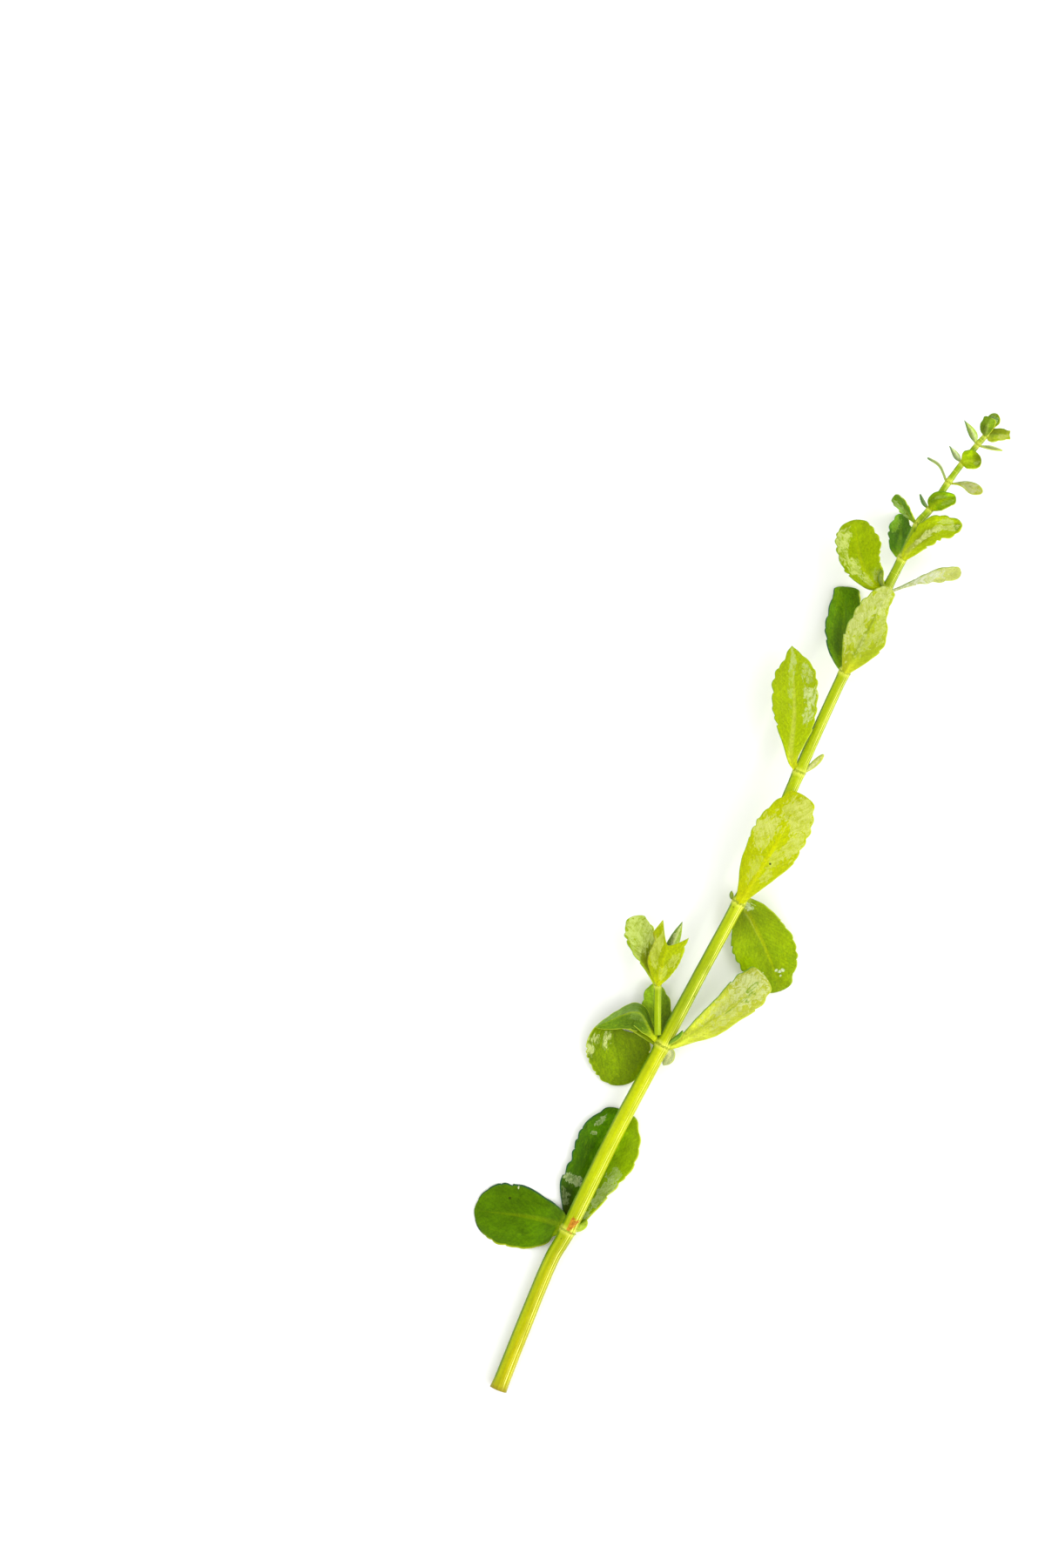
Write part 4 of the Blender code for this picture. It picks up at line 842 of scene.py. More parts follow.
def leaf_film_and_sheen(tree, look, skin, wrinkles, at):
    """Damp film in patches with painted sheen: paler than the skin, with a torn, brighter edge and fine
    bright wrinkles that are painted highlight. Gives the skin under its film, and where the film lies."""
    film_and_sheen = film_edge_highlight = 0.0
    for *patch, strength in look["film_and_sheen"]:
        apart = patch_distance(tree, at, *patch)
        apart = add(tree, "ShaderNodeMath", {0: apart, 1: at.torn}, operation="ADD")
        covered = add(tree, "ShaderNodeMapRange", {"Value": apart, "From Min": 1.06, "From Max": 0.94,
                                                   "To Max": strength})
        edge = add(tree, "ShaderNodeMapRange", {"Value": away_from(tree, apart, 1.0), "From Min": 0.11,
                                                "From Max": 0.02, "To Max": strength})
        film_and_sheen = add(tree, "ShaderNodeMath", {0: film_and_sheen, 1: covered}, operation="MAXIMUM")
        film_edge_highlight = add(tree, "ShaderNodeMath", {0: film_edge_highlight, 1: edge}, operation="MAXIMUM")
    worn = add(tree, "ShaderNodeMapRange", {"Value": at.holes, "From Min": 0.42, "From Max": 0.48,
                                            "To Min": look.get("film_holes", 0.45)})
    lined = add(tree, "ShaderNodeMapRange", {"Value": at.creases, "From Min": 0.38, "From Max": 0.56,
                                             "To Min": 0.5, "To Max": 1.1})
    film_sheen = add(tree, "ShaderNodeMath", {0: film_and_sheen, 1: worn}, operation="MULTIPLY")
    film_sheen = add(tree, "ShaderNodeMath", {0: film_sheen, 1: lined}, operation="MULTIPLY", use_clamp=True)
    wrinkled = add(tree, "ShaderNodeMath", {0: wrinkles, 1: film_and_sheen}, operation="MULTIPLY")
    wrinkled = add(tree, "ShaderNodeMath", {0: wrinkled, 1: 0.55}, operation="MULTIPLY")
    lit_edge = add(tree, "ShaderNodeMath", {0: film_edge_highlight, 1: look.get("edge_shows", 0.3)},
                   operation="MULTIPLY")
    lit_edge = add(tree, "ShaderNodeMath", {0: lit_edge, 1: wrinkled}, operation="MAXIMUM")
    # painted sheen: the film's pale veil, with its bright edge and wrinkles as painted highlight
    sheen_veil = linear(look.get("sheen_veil", look["pale"]))
    bright = [min(1.0, share * 1.25 + 0.12) for share in sheen_veil[:3]] + [1.0]
    for mask, tone in ((film_sheen, sheen_veil), (lit_edge, bright)):
        skin = add(tree, "ShaderNodeMix", {"Factor": mask, "A": skin, "B": tone}, data_type="RGBA")
    return skin, film_and_sheen


def leaf_marks(tree, look, skin, at):
    """The skin with its healed marks, spots of dirt and small dark specks."""
    marks = []
    # healed marks: thin loops drawn out along the veins
    for patch in look.get("scars", ()):
        loop = patch_distance(tree, at, *patch)
        loop = add(tree, "ShaderNodeMath", {0: at.torn, 1: 0.5, 2: loop}, operation="MULTIPLY_ADD")
        loop = add(tree, "ShaderNodeMapRange", {"Value": away_from(tree, loop, 1.0), "From Min": 0.4,
                                                "From Max": 0.12, "To Max": 0.85})
        broken = add(tree, "ShaderNodeMapRange", {"Value": at.mottle, "From Min": 0.42, "From Max": 0.52})
        marks.append((add(tree, "ShaderNodeMath", {0: loop, 1: broken}, operation="MULTIPLY"), HEALED_GREEN))
    for across, along, radius in look.get("spots", ()):
        apart = distance_from(tree, (across, along, 0), at.blade, (1, 1, 0))
        marks.append((add(tree, "ShaderNodeMapRange", {"Value": apart, "From Min": radius * 1.2,
                                                       "From Max": radius * 0.8, "To Max": 0.9}), DIRT_BROWN))
    if look.get("specks"):
        dots = scattered_dots(tree, at.shift, 0.85, 0.13, look["specks"] * 0.35)
        marks.append((add(tree, "ShaderNodeMath", {0: dots, 1: 0.6}, operation="MULTIPLY"), SPECK_GREEN))
    for mask, colour in marks:
        skin = add(tree, "ShaderNodeMix", {"Factor": mask, "A": skin, "B": linear(colour)}, data_type="RGBA")
    return skin


def leaf_skin(name, look, seed, face_seen):
    """Living leaf: waxy skin over mottled green, finer fibres along the blade, a midrib and side veins.
    It gives the eye soft greens that vary from cell to cell, wet film with painted sheen and bright broken
    edges of painted highlight, and a rim of painted shade, cold and dark, on the shaded side and of painted
    light, yellow, on the lit one."""
    material, tree = blank_material("waxy leaf skin, " + name.replace("_", " "))
    at = leaf_patterns(tree, seed)
    skin, veins = leaf_greens(tree, look, at)
    wrinkles = add(tree, "ShaderNodeMapRange", {"Value": away_from(tree, at.crinkle, 0.5), "From Min": 0.014,
                                                "From Max": 0.003})
    rough = look.get("rough", 0.4)
    if look.get("film_and_sheen"):
        skin, film_and_sheen = leaf_film_and_sheen(tree, look, skin, wrinkles, at)
        gloss = add(tree, "ShaderNodeMapRange", {"Value": film_and_sheen, "To Min": rough, "To Max": WET_ROUGHNESS})
    else:
        gloss = add(tree, "ShaderNodeMapRange", {"Value": at.cells, "From Min": 0.3, "From Max": 0.7,
                                                 "To Min": rough - 0.07, "To Max": rough + 0.07})
    skin = leaf_marks(tree, look, skin, at)
    # rim: a thin line along the margin, painted shade, cold and dark, on the shaded side and painted light,
    # yellow, on the lit one
    lit = add(tree, "ShaderNodeAttribute", attribute_name="lit_side").outputs["Fac"]
    lit = add(tree, "ShaderNodeMapRange", {"Value": lit, "From Min": -0.2, "From Max": 0.5})
    rim_light_and_shade = add(tree, "ShaderNodeMix", {"Factor": lit, "A": linear(look["rim"]),
                                           "B": linear(look.get("rim_lit", LIT_RIM))}, data_type="RGBA")
    rim_size = look.get("rim_size", 1)
    rim = add(tree, "ShaderNodeMapRange", {"Value": at.margin, "From Min": 0.26 * rim_size,
                                           "From Max": 0.06 * rim_size, "To Max": look.get("rim_shows", 0.7)})
    rim_starts = add(tree, "ShaderNodeMapRange", {"Value": at.y, "From Min": 0.05, "From Max": 0.2})
    rim = add(tree, "ShaderNodeMath", {0: rim, 1: rim_starts}, operation="MULTIPLY")
    skin = add(tree, "ShaderNodeMix", {"Factor": rim, "A": skin, "B": rim_light_and_shade}, data_type="RGBA")
    # the face that looks down is plainer
    face = add(tree, "ShaderNodeAttribute", attribute_name="upper_face").outputs["Fac"]
    hidden = add(tree, "ShaderNodeMath", {0: face, 1: 0.5},
                 operation="LESS_THAN" if face_seen == "upper" else "GREATER_THAN")
    plain = add(tree, "ShaderNodeMix", {"Factor": 0.5, "A": skin, "B": linear(HIDDEN_FACE[face_seen])},
                data_type="RGBA")
    skin = add(tree, "ShaderNodeMix", {"Factor": hidden, "A": skin, "B": plain}, data_type="RGBA")
    relief = add(tree, "ShaderNodeMath", {0: at.cells, 1: 0.5, 2: at.fibres}, operation="MULTIPLY_ADD")
    for pattern, height in ((at.mottle, 3.0), (veins, -0.6), (wrinkles, 0.25)):
        relief = add(tree, "ShaderNodeMath", {0: pattern, 1: height, 2: relief}, operation="MULTIPLY_ADD")
    bump = add(tree, "ShaderNodeBump", {"Height": relief, "Strength": 0.4, "Distance": 0.0003})
    shader = add(tree, "ShaderNodeBsdfPrincipled", {
        "Base Color": skin, "Roughness": gloss, "Normal": bump, "IOR": 1.42, "Specular IOR Level": 0.12,
        "Specular Tint": SAP_TINT, "Subsurface Weight": 0.08, "Subsurface Radius": (0.4, 0.8, 0.05),
        "Subsurface Scale": 0.0006, "Coat Weight": 0.06, "Coat Roughness": 0.08})
    add(tree, "ShaderNodeOutputMaterial", {"Surface": shader})
    return material


def stem_tree():
    """Sweeps a ribbed round section along a stem's path, and sets a raised collar at each of its knots."""
    tree = bpy.data.node_groups.new("ribbed stem with collars", "GeometryNodeTree")
    wanted = [("Path", "NodeSocketGeometry"), ("Sides", "NodeSocketInt"), ("Ribs", "NodeSocketInt"),
              ("Rib height", "NodeSocketFloat"), ("Collar size", "NodeSocketFloat"),
              ("Grain", "NodeSocketFloat"), ("Skin", "NodeSocketMaterial")]
    for title, kind in wanted:
        tree.interface.new_socket(title, in_out="INPUT", socket_type=kind)
    tree.interface.new_socket("Stem", in_out="OUTPUT", socket_type="NodeSocketGeometry")
    given = add(tree, "NodeGroupInput").outputs
    path = add(tree, "GeometryNodeMeshToCurve", {"Mesh": given["Path"]})
    path = add(tree, "GeometryNodeSetCurveNormal", {"Curve": path}, mode="Z_UP")
    radius = add(tree, "GeometryNodeInputNamedAttribute", {"Name": "thick"}, data_type="FLOAT")
    is_knot = add(tree, "GeometryNodeInputNamedAttribute", {"Name": "knot"}, data_type="FLOAT")
    # the round section: a circle whose points stand out in ribs
    section = add(tree, "GeometryNodeCurvePrimitiveCircle", {"Resolution": given["Sides"], "Radius": 1.0})
    turn = add(tree, "ShaderNodeMath", {0: add(tree, "GeometryNodeSplineParameter").outputs["Factor"],
                                        1: 2 * math.pi}, operation="MULTIPLY")
    waves = add(tree, "ShaderNodeMath", {0: turn, 1: given["Ribs"]}, operation="MULTIPLY")
    waves = add(tree, "ShaderNodeMath", {0: waves}, operation="COSINE")
    waves = add(tree, "ShaderNodeMath", {0: waves, 1: given["Rib height"]}, operation="MULTIPLY")
    place = add(tree, "GeometryNodeInputPosition")
    rib = add(tree, "ShaderNodeVectorMath", {0: place, "Scale": waves}, operation="SCALE")
    round_way = add(tree, "GeometryNodeStoreNamedAttribute",
                    {"Geometry": section, "Name": "round_way", "Value": place}, data_type="FLOAT_VECTOR")
    section = add(tree, "GeometryNodeSetPosition", {"Geometry": round_way, "Offset": rib})
    swept = add(tree, "GeometryNodeCurveToMesh", {"Curve": path, "Profile Curve": section, "Scale": radius,
                                                  "Fill Caps": True})
    grain = add(tree, "ShaderNodeTexNoise", {"Vector": place, "Scale": 240.0, "Detail": 0.0})
    grain = add(tree, "ShaderNodeMath", {0: grain, 1: 0.5}, operation="SUBTRACT")
    grain = add(tree, "ShaderNodeMath", {0: grain, 1: given["Grain"]}, operation="MULTIPLY")
    uneven = add(tree, "ShaderNodeVectorMath", {0: add(tree, "GeometryNodeInputNormal"), "Scale": grain},
                 operation="SCALE")
    swept = add(tree, "GeometryNodeSetPosition", {"Geometry": swept, "Offset": uneven})
    # a collar: a thin ring that hugs the stem where its leaves grow
    ring = add(tree, "GeometryNodeCurveToMesh", {
        "Curve": add(tree, "GeometryNodeCurvePrimitiveCircle", {"Resolution": 40, "Radius": 1.0}),
        "Profile Curve": add(tree, "GeometryNodeCurvePrimitiveCircle", {
            "Resolution": 10, "Radius": given["Collar size"]})})
    ring = add(tree, "GeometryNodeStoreNamedAttribute", {
        "Geometry": ring, "Name": "round_way", "Value": add(tree, "GeometryNodeInputPosition")},
        data_type="FLOAT_VECTOR")
    facing = add(tree, "FunctionNodeAlignRotationToVector", {"Vector": add(tree, "GeometryNodeInputTangent")},
                 axis="Z")
    rings = add(tree, "GeometryNodeInstanceOnPoints", {"Points": path, "Selection": is_knot, "Instance": ring,
                                                       "Rotation": facing, "Scale": radius})
    both = add(tree, "GeometryNodeJoinGeometry")
    for part in (swept, rings):
        tree.links.new(next(output for output in part.outputs if output.enabled), both.inputs[0])
    real = add(tree, "GeometryNodeRealizeInstances", {"Geometry": both})
    smooth = add(tree, "GeometryNodeSetShadeSmooth", {"Geometry": real})
    done = add(tree, "GeometryNodeSetMaterial", {"Geometry": smooth, "Material": given["Skin"]})
    add(tree, "NodeGroupOutput", {"Stem": done})
    return tree


def stem_path(name, table):
    """The stem's path as a line of close points that know their thickness, distances and knots."""
    rows = np.array([row[1:] for row in table])
    _, _, length = curve_at(rows, [0.0])
    knots = [np.array(row[1:4]) for row in table if isinstance(row[0], int) or row[0] == "shoot"]
    shares = np.linspace(0, 1, int(length / PATH_STEP))
    place, _, _ = curve_at(rows, shares)
    thick = place[:, 3].copy()
    from_knot = np.full(len(shares), 50.0)
    is_knot = np.zeros(len(shares))
    for knot in knots:
        distance = np.linalg.norm(place[:, :3] - knot, axis=1)
        nearest = np.argmin(distance)
        thick += place[:, 3] * KNOT_SWELL * np.exp(-((distance / KNOT_REACH) ** 2))
        signed = distance * np.sign(np.arange(len(shares)) - nearest)
        from_knot = np.where(distance < np.abs(from_knot), signed, from_knot)
        is_knot[nearest] = 1
    if name == "main_stem":
        thick *= 1 + FOOT_FLARE * np.clip(1 - shares * length / FLARE_REACH, 0, 1) ** 2
    mesh = bpy.data.meshes.new("path_" + name)
    points = on_plan(place[:, :3])
    mesh.from_pydata([tuple(point) for point in points], [(k, k + 1) for k in range(len(points) - 1)], [])
    extra = {"thick": thick * MM, "knot": is_knot, "from_knot": from_knot, "from_cut": shares * length}
    for title, values in extra.items():
        mesh.attributes.new(title, "FLOAT", "POINT").data.foreach_set("value", values.astype(np.float32))
    return mesh


def stem_piece(name, table, tree, skin, sizes):
    """A stem grown by the node tree along its path, as a plain mesh."""
    piece = placed("skin_" + name, stem_path(name, table))
    grow = piece.modifiers.new("grow", "NODES")
    grow.node_group = tree
    sockets = {item.name: item.identifier for item in tree.interface.items_tree if item.in_out == "INPUT"}
    for title, value in dict(sizes, Skin=skin).items():
        grow[sockets[title]] = value
    bpy.context.view_layer.update()
    grown = piece.evaluated_get(bpy.context.evaluated_depsgraph_get())
    mesh = bpy.data.meshes.new_from_object(grown)
    piece.modifiers.clear()
    piece.data = turn_outwards(mesh)
    return piece


def scar_and_cut(tree, skin, along, side, place, streaks, cells):
    """The main stem's skin with the brown scar above its lowest knot, its browned foot and its cut end."""
    across = side.outputs["X"]
    # a torn triangle of brown just above the lowest knot, widest at its upper end
    above = add(tree, "ShaderNodeMath", {0: along, 1: SCAR_FROM}, operation="SUBTRACT")
    ragged = add(tree, "ShaderNodeMath", {0: cells, 1: 0.5}, operation="SUBTRACT")
    middle = add(tree, "ShaderNodeMath", {0: above, 1: 0.11, 2: -0.02}, operation="MULTIPLY_ADD")
    half_width = add(tree, "ShaderNodeMath", {0: above, 1: 0.14, 2: 0.18}, operation="MULTIPLY_ADD")
    inside = add(tree, "ShaderNodeMath", {0: half_width, 1: away_from(tree, across, middle)},
                 operation="SUBTRACT")
    inside = add(tree, "ShaderNodeMath", {0: ragged, 1: 0.5, 2: inside}, operation="MULTIPLY_ADD")
    bruise = add(tree, "ShaderNodeMapRange", {"Value": inside, "From Min": -0.02, "From Max": 0.06})
    upper_end = add(tree, "ShaderNodeMath", {0: ragged, 1: 3.0, 2: above}, operation="MULTIPLY_ADD")
    upper_end = add(tree, "ShaderNodeMapRange", {"Value": upper_end, "From Min": 3.2, "From Max": 2.9})
    lower_end = add(tree, "ShaderNodeMapRange", {"Value": above, "From Min": -0.2, "From Max": 0.1})
    facing_up = add(tree, "ShaderNodeMath", {0: side.outputs["Y"], 1: 0.0}, operation="LESS_THAN")
    for limit in (upper_end, lower_end, facing_up, 0.92):
        bruise = add(tree, "ShaderNodeMath", {0: bruise, 1: limit}, operation="MULTIPLY")
    brown_tone = add(tree, "ShaderNodeMapRange", {"Value": cells, "From Min": 0.35, "From Max": 0.65})
    brown_tone = add(tree, "ShaderNodeMix", {"Factor": brown_tone, "A": linear("#9A5212"),
                                             "B": linear("#CC8A28")}, data_type="RGBA")
    layers = [(bruise, brown_tone)]
    # the foot has browned a little in from the cut
    for reach, strength, brown in ((4.2, 0.7, "#A29A16"), (1.4, 0.8, "#8A7C22")):
        browned = add(tree, "ShaderNodeMath", {0: streaks, 1: reach * 0.7, 2: along},
                      operation="MULTIPLY_ADD")
        browned = add(tree, "ShaderNodeMapRange", {"Value": browned, "From Min": reach,
                                                   "From Max": reach * 0.5, "To Max": strength})
        layers.append((browned, linear(brown)))
    # the cut end: a brown rind, paler pith and dark air channels about 0.4 mm apart
    centre = on_plan(np.array(MAIN_STEM[0][1:4]))
    from_centre = add(tree, "ShaderNodeVectorMath", {0: place, 1: tuple(centre)}, operation="DISTANCE")
    pith = add(tree, "ShaderNodeMapRange", {"Value": from_centre.outputs["Value"], "From Min": 0.0016,
                                            "From Max": 0.0011, "To Min": 0.0, "To Max": 0.85})
    channels = add(tree, "ShaderNodeTexVoronoi", {"Vector": place, "Scale": 2600.0})
    channel = add(tree, "ShaderNodeMapRange", {"Value": channels.outputs["Distance"], "From Min": 0.42,
                                               "From Max": 0.22, "To Max": 0.7})
    cut_face = linear("#7E6E22")
    for mask, colour in ((pith, "#C4BE62"), (channel, "#57501A")):
        cut_face = add(tree, "ShaderNodeMix", {"Factor": mask, "A": cut_face, "B": linear(colour)},
                       data_type="RGBA")
    is_cut = add(tree, "ShaderNodeMath", {0: along, 1: 0.02}, operation="LESS_THAN")
    for mask, tone in layers + [(is_cut, cut_face)]:
        skin = add(tree, "ShaderNodeMix", {"Factor": mask, "A": skin, "B": tone}, data_type="RGBA")
    return skin


def stem_skin(name, greens, is_main, shine):
    """Living stem: a translucent yellow-green rind with fine long streaks over a wet core.
    It gives the eye a darker green side of painted shade, pale lines of painted highlight on the lit side,
    pale rings at the knots and small dark specks; the main stem also has a brown scar and a brown cut."""
    material, tree = blank_material(name)
    along = add(tree, "ShaderNodeAttribute", attribute_name="from_cut").outputs["Fac"]
    knot = add(tree, "ShaderNodeAttribute", attribute_name="from_knot").outputs["Fac"]
    round_way = add(tree, "ShaderNodeAttribute", attribute_name="round_way").outputs["Vector"]
    side = add(tree, "ShaderNodeSeparateXYZ", {0: round_way})
    across = side.outputs["X"]
    place = add(tree, "ShaderNodeTexCoord").outputs["Object"]
    ramp = add(tree, "ShaderNodeValToRGB", {0: add(tree, "ShaderNodeMath", {0: along, 1: greens[-1][0]},
                                                   operation="DIVIDE")})
    for index, (distance, green) in enumerate(greens):
        at = distance / greens[-1][0]
        stop = ramp.color_ramp.elements[index] if index < 2 else ramp.color_ramp.elements.new(at)
        stop.position = at
        stop.color = linear(green)
    # long streaks, about 0.25 mm apart round the stem and several millimetres long
    drawn_out = add(tree, "ShaderNodeMath", {0: along, 1: 0.014}, operation="MULTIPLY")
    streak_place = add(tree, "ShaderNodeCombineXYZ", {"X": across, "Y": side.outputs["Y"], "Z": drawn_out})
    streaks = add(tree, "ShaderNodeTexNoise", {"Vector": streak_place, "Scale": 6.0, "Detail": 3.0,
                                               "Roughness": 0.55})
    slow_place = add(tree, "ShaderNodeVectorMath", {0: streak_place, 1: (0.6, 0.6, 6.0)},
                     operation="MULTIPLY")
    slow = add(tree, "ShaderNodeTexNoise", {"Vector": slow_place, "Scale": 1.6, "Detail": 2.0})
    cells = add(tree, "ShaderNodeTexNoise", {"Vector": place, "Scale": 1900.0, "Detail": 3.0,
                                             "Roughness": 0.7})
    skin = ramp.outputs["Color"]
    for start, full, shows, colour in ((0.52, 0.75, 0.35, "#DDE23A"), (0.47, 0.28, 0.4, "#93AA06")):
        streak = add(tree, "ShaderNodeMapRange", {"Value": streaks, "From Min": start, "From Max": full,
                                                  "To Max": shows})
        skin = add(tree, "ShaderNodeMix", {"Factor": streak, "A": skin, "B": linear(colour)},
                   data_type="RGBA")
    uneven = add(tree, "ShaderNodeMapRange", {"Value": slow, "From Min": 0.35, "From Max": 0.65,
                                              "To Min": 0.88, "To Max": 1.1})
    skin = add(tree, "ShaderNodeVectorMath", {0: skin, 1: uneven}, operation="MULTIPLY")
    # painted shade: the rind is greener on the side away from the light and greenest at its edge
    for start, full, shows, ease, colour in ((0.1, -0.7, 0.5, "SMOOTHSTEP", "#9DB508"),
                                             (-0.7, -0.92, 0.9, "LINEAR", "#527C12")):
        shaded = add(tree, "ShaderNodeMapRange", {"Value": across, "From Min": start, "From Max": full,
                                                  "To Max": shows}, interpolation_type=ease)
        skin = add(tree, "ShaderNodeMix", {"Factor": shaded, "A": skin, "B": linear(colour)},
                   data_type="RGBA")
    # painted highlights: pale, close, broken lines along the ribs on the side that faces up and to the light
    broken = add(tree, "ShaderNodeMapRange", {"Value": slow, "From Min": 0.36, "From Max": 0.5,
                                              "To Min": 0.35})
    facing_up = add(tree, "ShaderNodeMath", {0: side.outputs["Y"], 1: 0.0}, operation="LESS_THAN")
    for rib_at, thin, shows in ((0.22, 0.035, 0.4), (0.44, 0.045, 1.0), (0.74, 0.04, 0.7)):
        wander = add(tree, "ShaderNodeMath", {0: streaks, 1: 0.14, 2: across}, operation="MULTIPLY_ADD")
        rib_highlight = add(tree, "ShaderNodeMapRange", {
            "Value": away_from(tree, wander, rib_at + 0.07), "From Min": thin, "From Max": thin * 0.45,
            "To Max": shows * shine})
        for limit in (broken, facing_up):
            rib_highlight = add(tree, "ShaderNodeMath", {0: rib_highlight, 1: limit}, operation="MULTIPLY")
        skin = add(tree, "ShaderNodeMix", {"Factor": rib_highlight, "A": skin, "B": linear("#F8F884")},
                   data_type="RGBA")
    # knots: a pale swollen ring with a fine darker line where the leaves joined
    wavy = add(tree, "ShaderNodeMapRange", {"Value": streaks, "From Min": 0.3, "From Max": 0.7,
                                            "To Min": -0.3, "To Max": 0.3})
    line = add(tree, "ShaderNodeMath", {0: knot, 1: wavy}, operation="ADD")
    for value, start, full, shows, colour in ((knot, 1.1, 0.25, 0.6, "#E2E65C"),
                                              (line, 0.24, 0.1, 0.85, "#8A9A18")):
        ring = add(tree, "ShaderNodeMath", {0: value}, operation="ABSOLUTE")
        ring = add(tree, "ShaderNodeMapRange", {"Value": ring, "From Min": start, "From Max": full,
                                                "To Max": shows})
        skin = add(tree, "ShaderNodeMix", {"Factor": ring, "A": skin, "B": linear(colour)}, data_type="RGBA")
    # small dark specks, about one in 2 mm
    specks = scattered_dots(tree, place, 620.0, 0.12, 0.14)
    skin = add(tree, "ShaderNodeMix", {"Factor": specks, "A": skin, "B": linear("#6E6A10")},
               data_type="RGBA")
    grain = add(tree, "ShaderNodeMapRange", {"Value": cells, "From Min": 0.3, "From Max": 0.7, "To Min": 0.9,
                                             "To Max": 1.08})
    skin = add(tree, "ShaderNodeVectorMath", {0: skin, 1: grain}, operation="MULTIPLY")
    if is_main:
        skin = scar_and_cut(tree, skin, along, side, place, streaks, cells)
    wetness = add(tree, "ShaderNodeMapRange", {"Value": streaks, "From Min": 0.3, "From Max": 0.7,
                                               "To Min": 0.16, "To Max": 0.3})
    relief = add(tree, "ShaderNodeMath", {0: cells, 1: 0.04, 2: streaks}, operation="MULTIPLY_ADD")
    bump = add(tree, "ShaderNodeBump", {"Height": relief, "Strength": 0.4, "Distance": 0.00015})
    shader = add(tree, "ShaderNodeBsdfPrincipled", {
        "Base Color": skin, "Roughness": wetness, "Normal": bump, "IOR": 1.42, "Specular IOR Level": 0.18,
        "Specular Tint": SAP_TINT, "Subsurface Weight": 0.1, "Subsurface Radius": (0.6, 0.9, 0.05),
        "Subsurface Scale": 0.0006, "Coat Weight": 0.07, "Coat Roughness": 0.06})
    add(tree, "ShaderNodeOutputMaterial", {"Surface": shader})
    return material


def bud_piece():
    """The closed bud: two pairs of scale leaves wrapped over each other, drawn to a blunt tip."""
    rows, columns = 48, 48
    t = np.linspace(0, 1, rows)[:, None]
    turn = np.linspace(0, 2 * math.pi, columns, endpoint=False)[None, :]
    lap = 0.06 * np.abs(np.sin(turn + 2.2 * t)) + 0.03 * np.abs(np.cos(2 * turn - 1.2 * t))
    radius = BUD["width"] / 2 * np.sin(math.pi * np.clip(t, 0.0, 1) ** 0.8) ** 0.6 * (1 - lap * (t > 0.02))
    along = BUD["length"] * (t - 0.5) + 0 * turn
    points = np.stack([radius * np.cos(turn), along, radius * np.sin(turn)], axis=-1)
    lean = unit(np.array(BUD["lean"]))
    level = unit(np.cross(lean, (0, 0, 1)))
    frame_of_bud = np.stack([level, lean, np.cross(level, lean)])
    points = points @ frame_of_bud + np.array(BUD["centre"])
    points = np.vstack([points[1:-1].reshape(-1, 3), points[0, 0], points[-1, 0]])
    count = rows - 2
    faces = []
    for row in range(count - 1):
        for column in range(columns):
            a, b = row * columns + column, row * columns + (column + 1) % columns
            faces.append((a, b, b + columns, a + columns))
    for column in range(columns):
        after = (column + 1) % columns
        faces.append((count * columns, after, column))
        faces.append((count * columns + 1, (count - 1) * columns + column, (count - 1) * columns + after))
    return placed("skin_tip_bud", closed_mesh("tip_bud", points, faces))


def bud_skin():
    """Young bud, tightly wrapped: a cool dark green that pales along the edges of its scale leaves."""
    material, tree = blank_material("wrapped young bud")
    place = add(tree, "ShaderNodeTexCoord").outputs["Object"]
    cells = add(tree, "ShaderNodeTexNoise", {"Vector": place, "Scale": 2600.0, "Detail": 3.0})
    folds = add(tree, "ShaderNodeTexNoise", {"Vector": place, "Scale": 900.0, "Detail": 2.0,
                                             "Distortion": 1.0})
    fold_mask = add(tree, "ShaderNodeMapRange", {"Value": folds, "From Min": 0.48, "From Max": 0.62})
    skin = add(tree, "ShaderNodeMix", {"Factor": fold_mask, "A": linear("#4E7A1C"), "B": linear("#8CAE3C")},
               data_type="RGBA")
    grain, gloss = [add(tree, "ShaderNodeMapRange", {"Value": cells, "From Min": 0.3, "From Max": 0.7,
                                                     "To Min": least, "To Max": most})
                    for least, most in ((0.85, 1.1), (0.3, 0.45))]
    skin = add(tree, "ShaderNodeVectorMath", {0: skin, 1: grain}, operation="MULTIPLY")
    bump = add(tree, "ShaderNodeBump", {"Height": cells, "Strength": 0.4, "Distance": 0.00012})
    shader = add(tree, "ShaderNodeBsdfPrincipled", {
        "Base Color": skin, "Roughness": gloss, "Normal": bump, "Subsurface Weight": 0.15,
        "Subsurface Radius": (0.4, 0.8, 0.1), "Subsurface Scale": 0.0006})
    add(tree, "ShaderNodeOutputMaterial", {"Surface": shader})
    return material


def soft_light(name, place, aim, size, power, tint, length=None):
    """A soft lamp that looks from its place at a point of the sprig: a disk, or a strip of some length."""
    lamp = bpy.data.lights.new(name, "AREA")
    lamp.shape = "DISK" if length is None else "RECTANGLE"
    lamp.size = size
    if length is not None:
        lamp.size, lamp.size_y = length, size
    lamp.energy = power
    lamp.color = linear(tint)[:3]
    lamp_object = placed(name, lamp)
    lamp_object.location = place
    lamp_object.rotation_euler = (Vector(aim) - Vector(place)).to_track_quat("-Z", "Y").to_euler()


for number, (title, shape) in enumerate(LEAVES.items()):
    leaf_object = leaf_piece(title, shape, number + 11)
    seen = "under" if 90 < shape.get("turn", 0) < 270 else "upper"
    leaf_object.data.materials.append(leaf_skin(title, LOOKS[title], number + 1, seen))
    settle_piece(leaf_object, title)

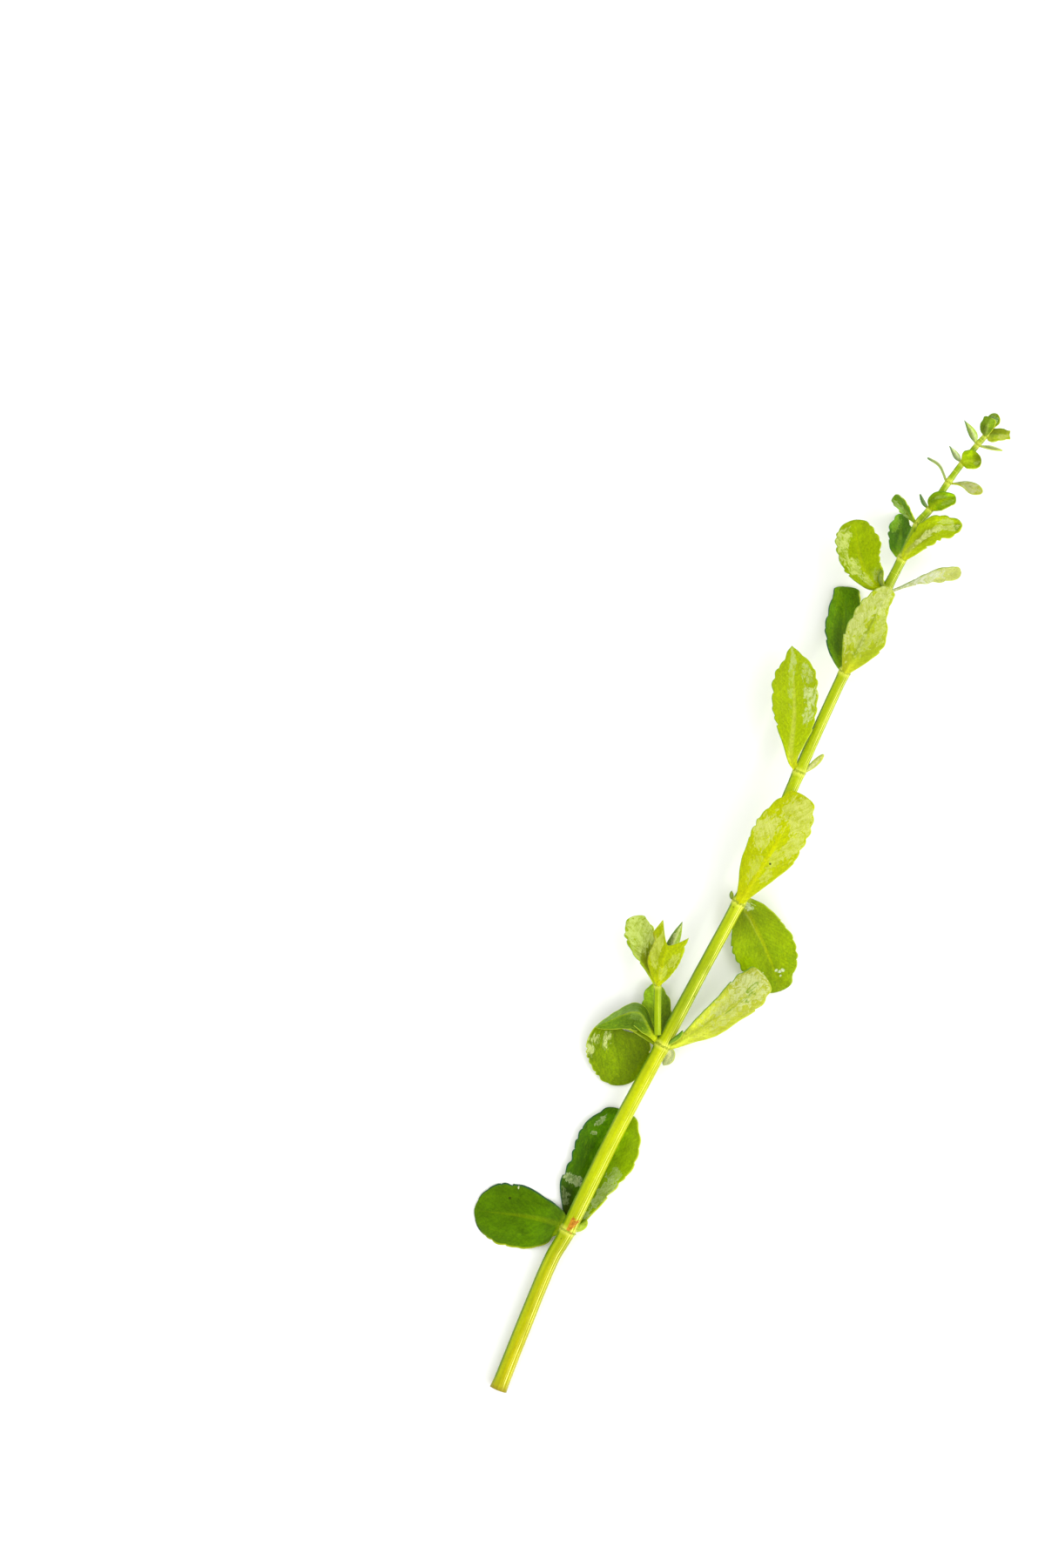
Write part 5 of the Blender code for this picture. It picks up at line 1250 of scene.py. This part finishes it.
stem_nodes = stem_tree()
main_sizes = {"Sides": 96, "Ribs": 11, "Rib height": 0.018, "Collar size": 0.10, "Grain": 0.00006}
main_rind = stem_skin("juicy stem rind, cut at the foot", STEM_GREENS, True, 1.0)
settle_piece(stem_piece("main_stem", MAIN_STEM, stem_nodes, main_rind, main_sizes), "main_stem")
shoot_sizes = dict(main_sizes, Sides=48, Ribs=7)
shoot_rind = stem_skin("young shoot rind", SHOOT_GREENS, False, 0.4)
settle_piece(stem_piece("side_shoot_stem", SIDE_SHOOT, stem_nodes, shoot_rind, shoot_sizes),
             "side_shoot_stem")

bud_object = bud_piece()
bud_object.data.materials.append(bud_skin())
settle_piece(bud_object, "tip_bud")

# floor: a plain matt pale sheet with the faintest tooth
floor_mesh = bpy.data.meshes.new("table_sheet")
floor_mesh.from_pydata([(-6, -6, 0), (6, -6, 0), (6, 6, 0), (-6, 6, 0)], [], [(0, 1, 2, 3)])
floor = placed("table_sheet", floor_mesh)
sheet_paper, card = blank_material("matt white card")
tooth = add(card, "ShaderNodeTexNoise", {"Vector": add(card, "ShaderNodeTexCoord").outputs["Object"],
                                         "Scale": 900.0, "Detail": 2.0})
tooth_bump = add(card, "ShaderNodeBump", {"Height": tooth, "Strength": 0.03, "Distance": 0.0001})
card_skin = add(card, "ShaderNodeBsdfPrincipled", {"Base Color": linear("#FAFAF8"), "Roughness": 0.9,
                                                   "Specular IOR Level": 0.1, "Normal": tooth_bump})
add(card, "ShaderNodeOutputMaterial", {"Surface": card_skin})
floor_mesh.materials.append(sheet_paper)

# lights: a soft key and a thin strip from the right, in a pale room that is darker straight overhead
soft_light("key_right", (0.85, -0.45, 1.0), (0, 0, 0), 0.5, 2.6, "#FFFDF6")
soft_light("strip_right", (0.75, -0.4, 0.9), (0, 0, 0), 0.03, 1.5, "#FFFFFF", 0.9)
world = bpy.data.worlds.new("pale room")
world.use_nodes = True
sky = world.node_tree
sky.nodes.clear()
way = add(sky, "ShaderNodeSeparateXYZ", {0: add(sky, "ShaderNodeTexCoord").outputs["Generated"]})
walls, hood, sides = [
    add(sky, "ShaderNodeMapRange", {"Value": way.outputs[axis], "From Min": start, "From Max": full,
                                    "To Min": least, "To Max": most})
    for axis, start, full, least, most in (("Z", 0.25, 0.5, 1.0, 1.5), ("Z", 0.93, 0.985, 1.0, 0.1),
                                           ("X", -1.0, 1.0, 0.8, 1.2))]
glow = add(sky, "ShaderNodeMath", {0: walls, 1: sides}, operation="MULTIPLY")
glow = add(sky, "ShaderNodeMath", {0: glow, 1: hood}, operation="MULTIPLY")
room = add(sky, "ShaderNodeBackground", {"Color": (1.0, 1.0, 1.0, 1.0), "Strength": glow})
add(sky, "ShaderNodeOutputWorld", {"Surface": room})
bpy.context.scene.world = world
bpy.context.scene.view_settings.view_transform = "Standard"

# camera: straight above, at the height and framing of the photograph
camera_data = bpy.data.cameras.new("camera_above")
camera_data.sensor_fit = "VERTICAL"
camera_data.sensor_height = 36.0
camera_data.lens = 110.44
camera_data.clip_start = 0.01
camera = placed("camera_above", camera_data)
camera.location = (-0.04505, 0.0249, 1.0)
bpy.context.scene.camera = camera
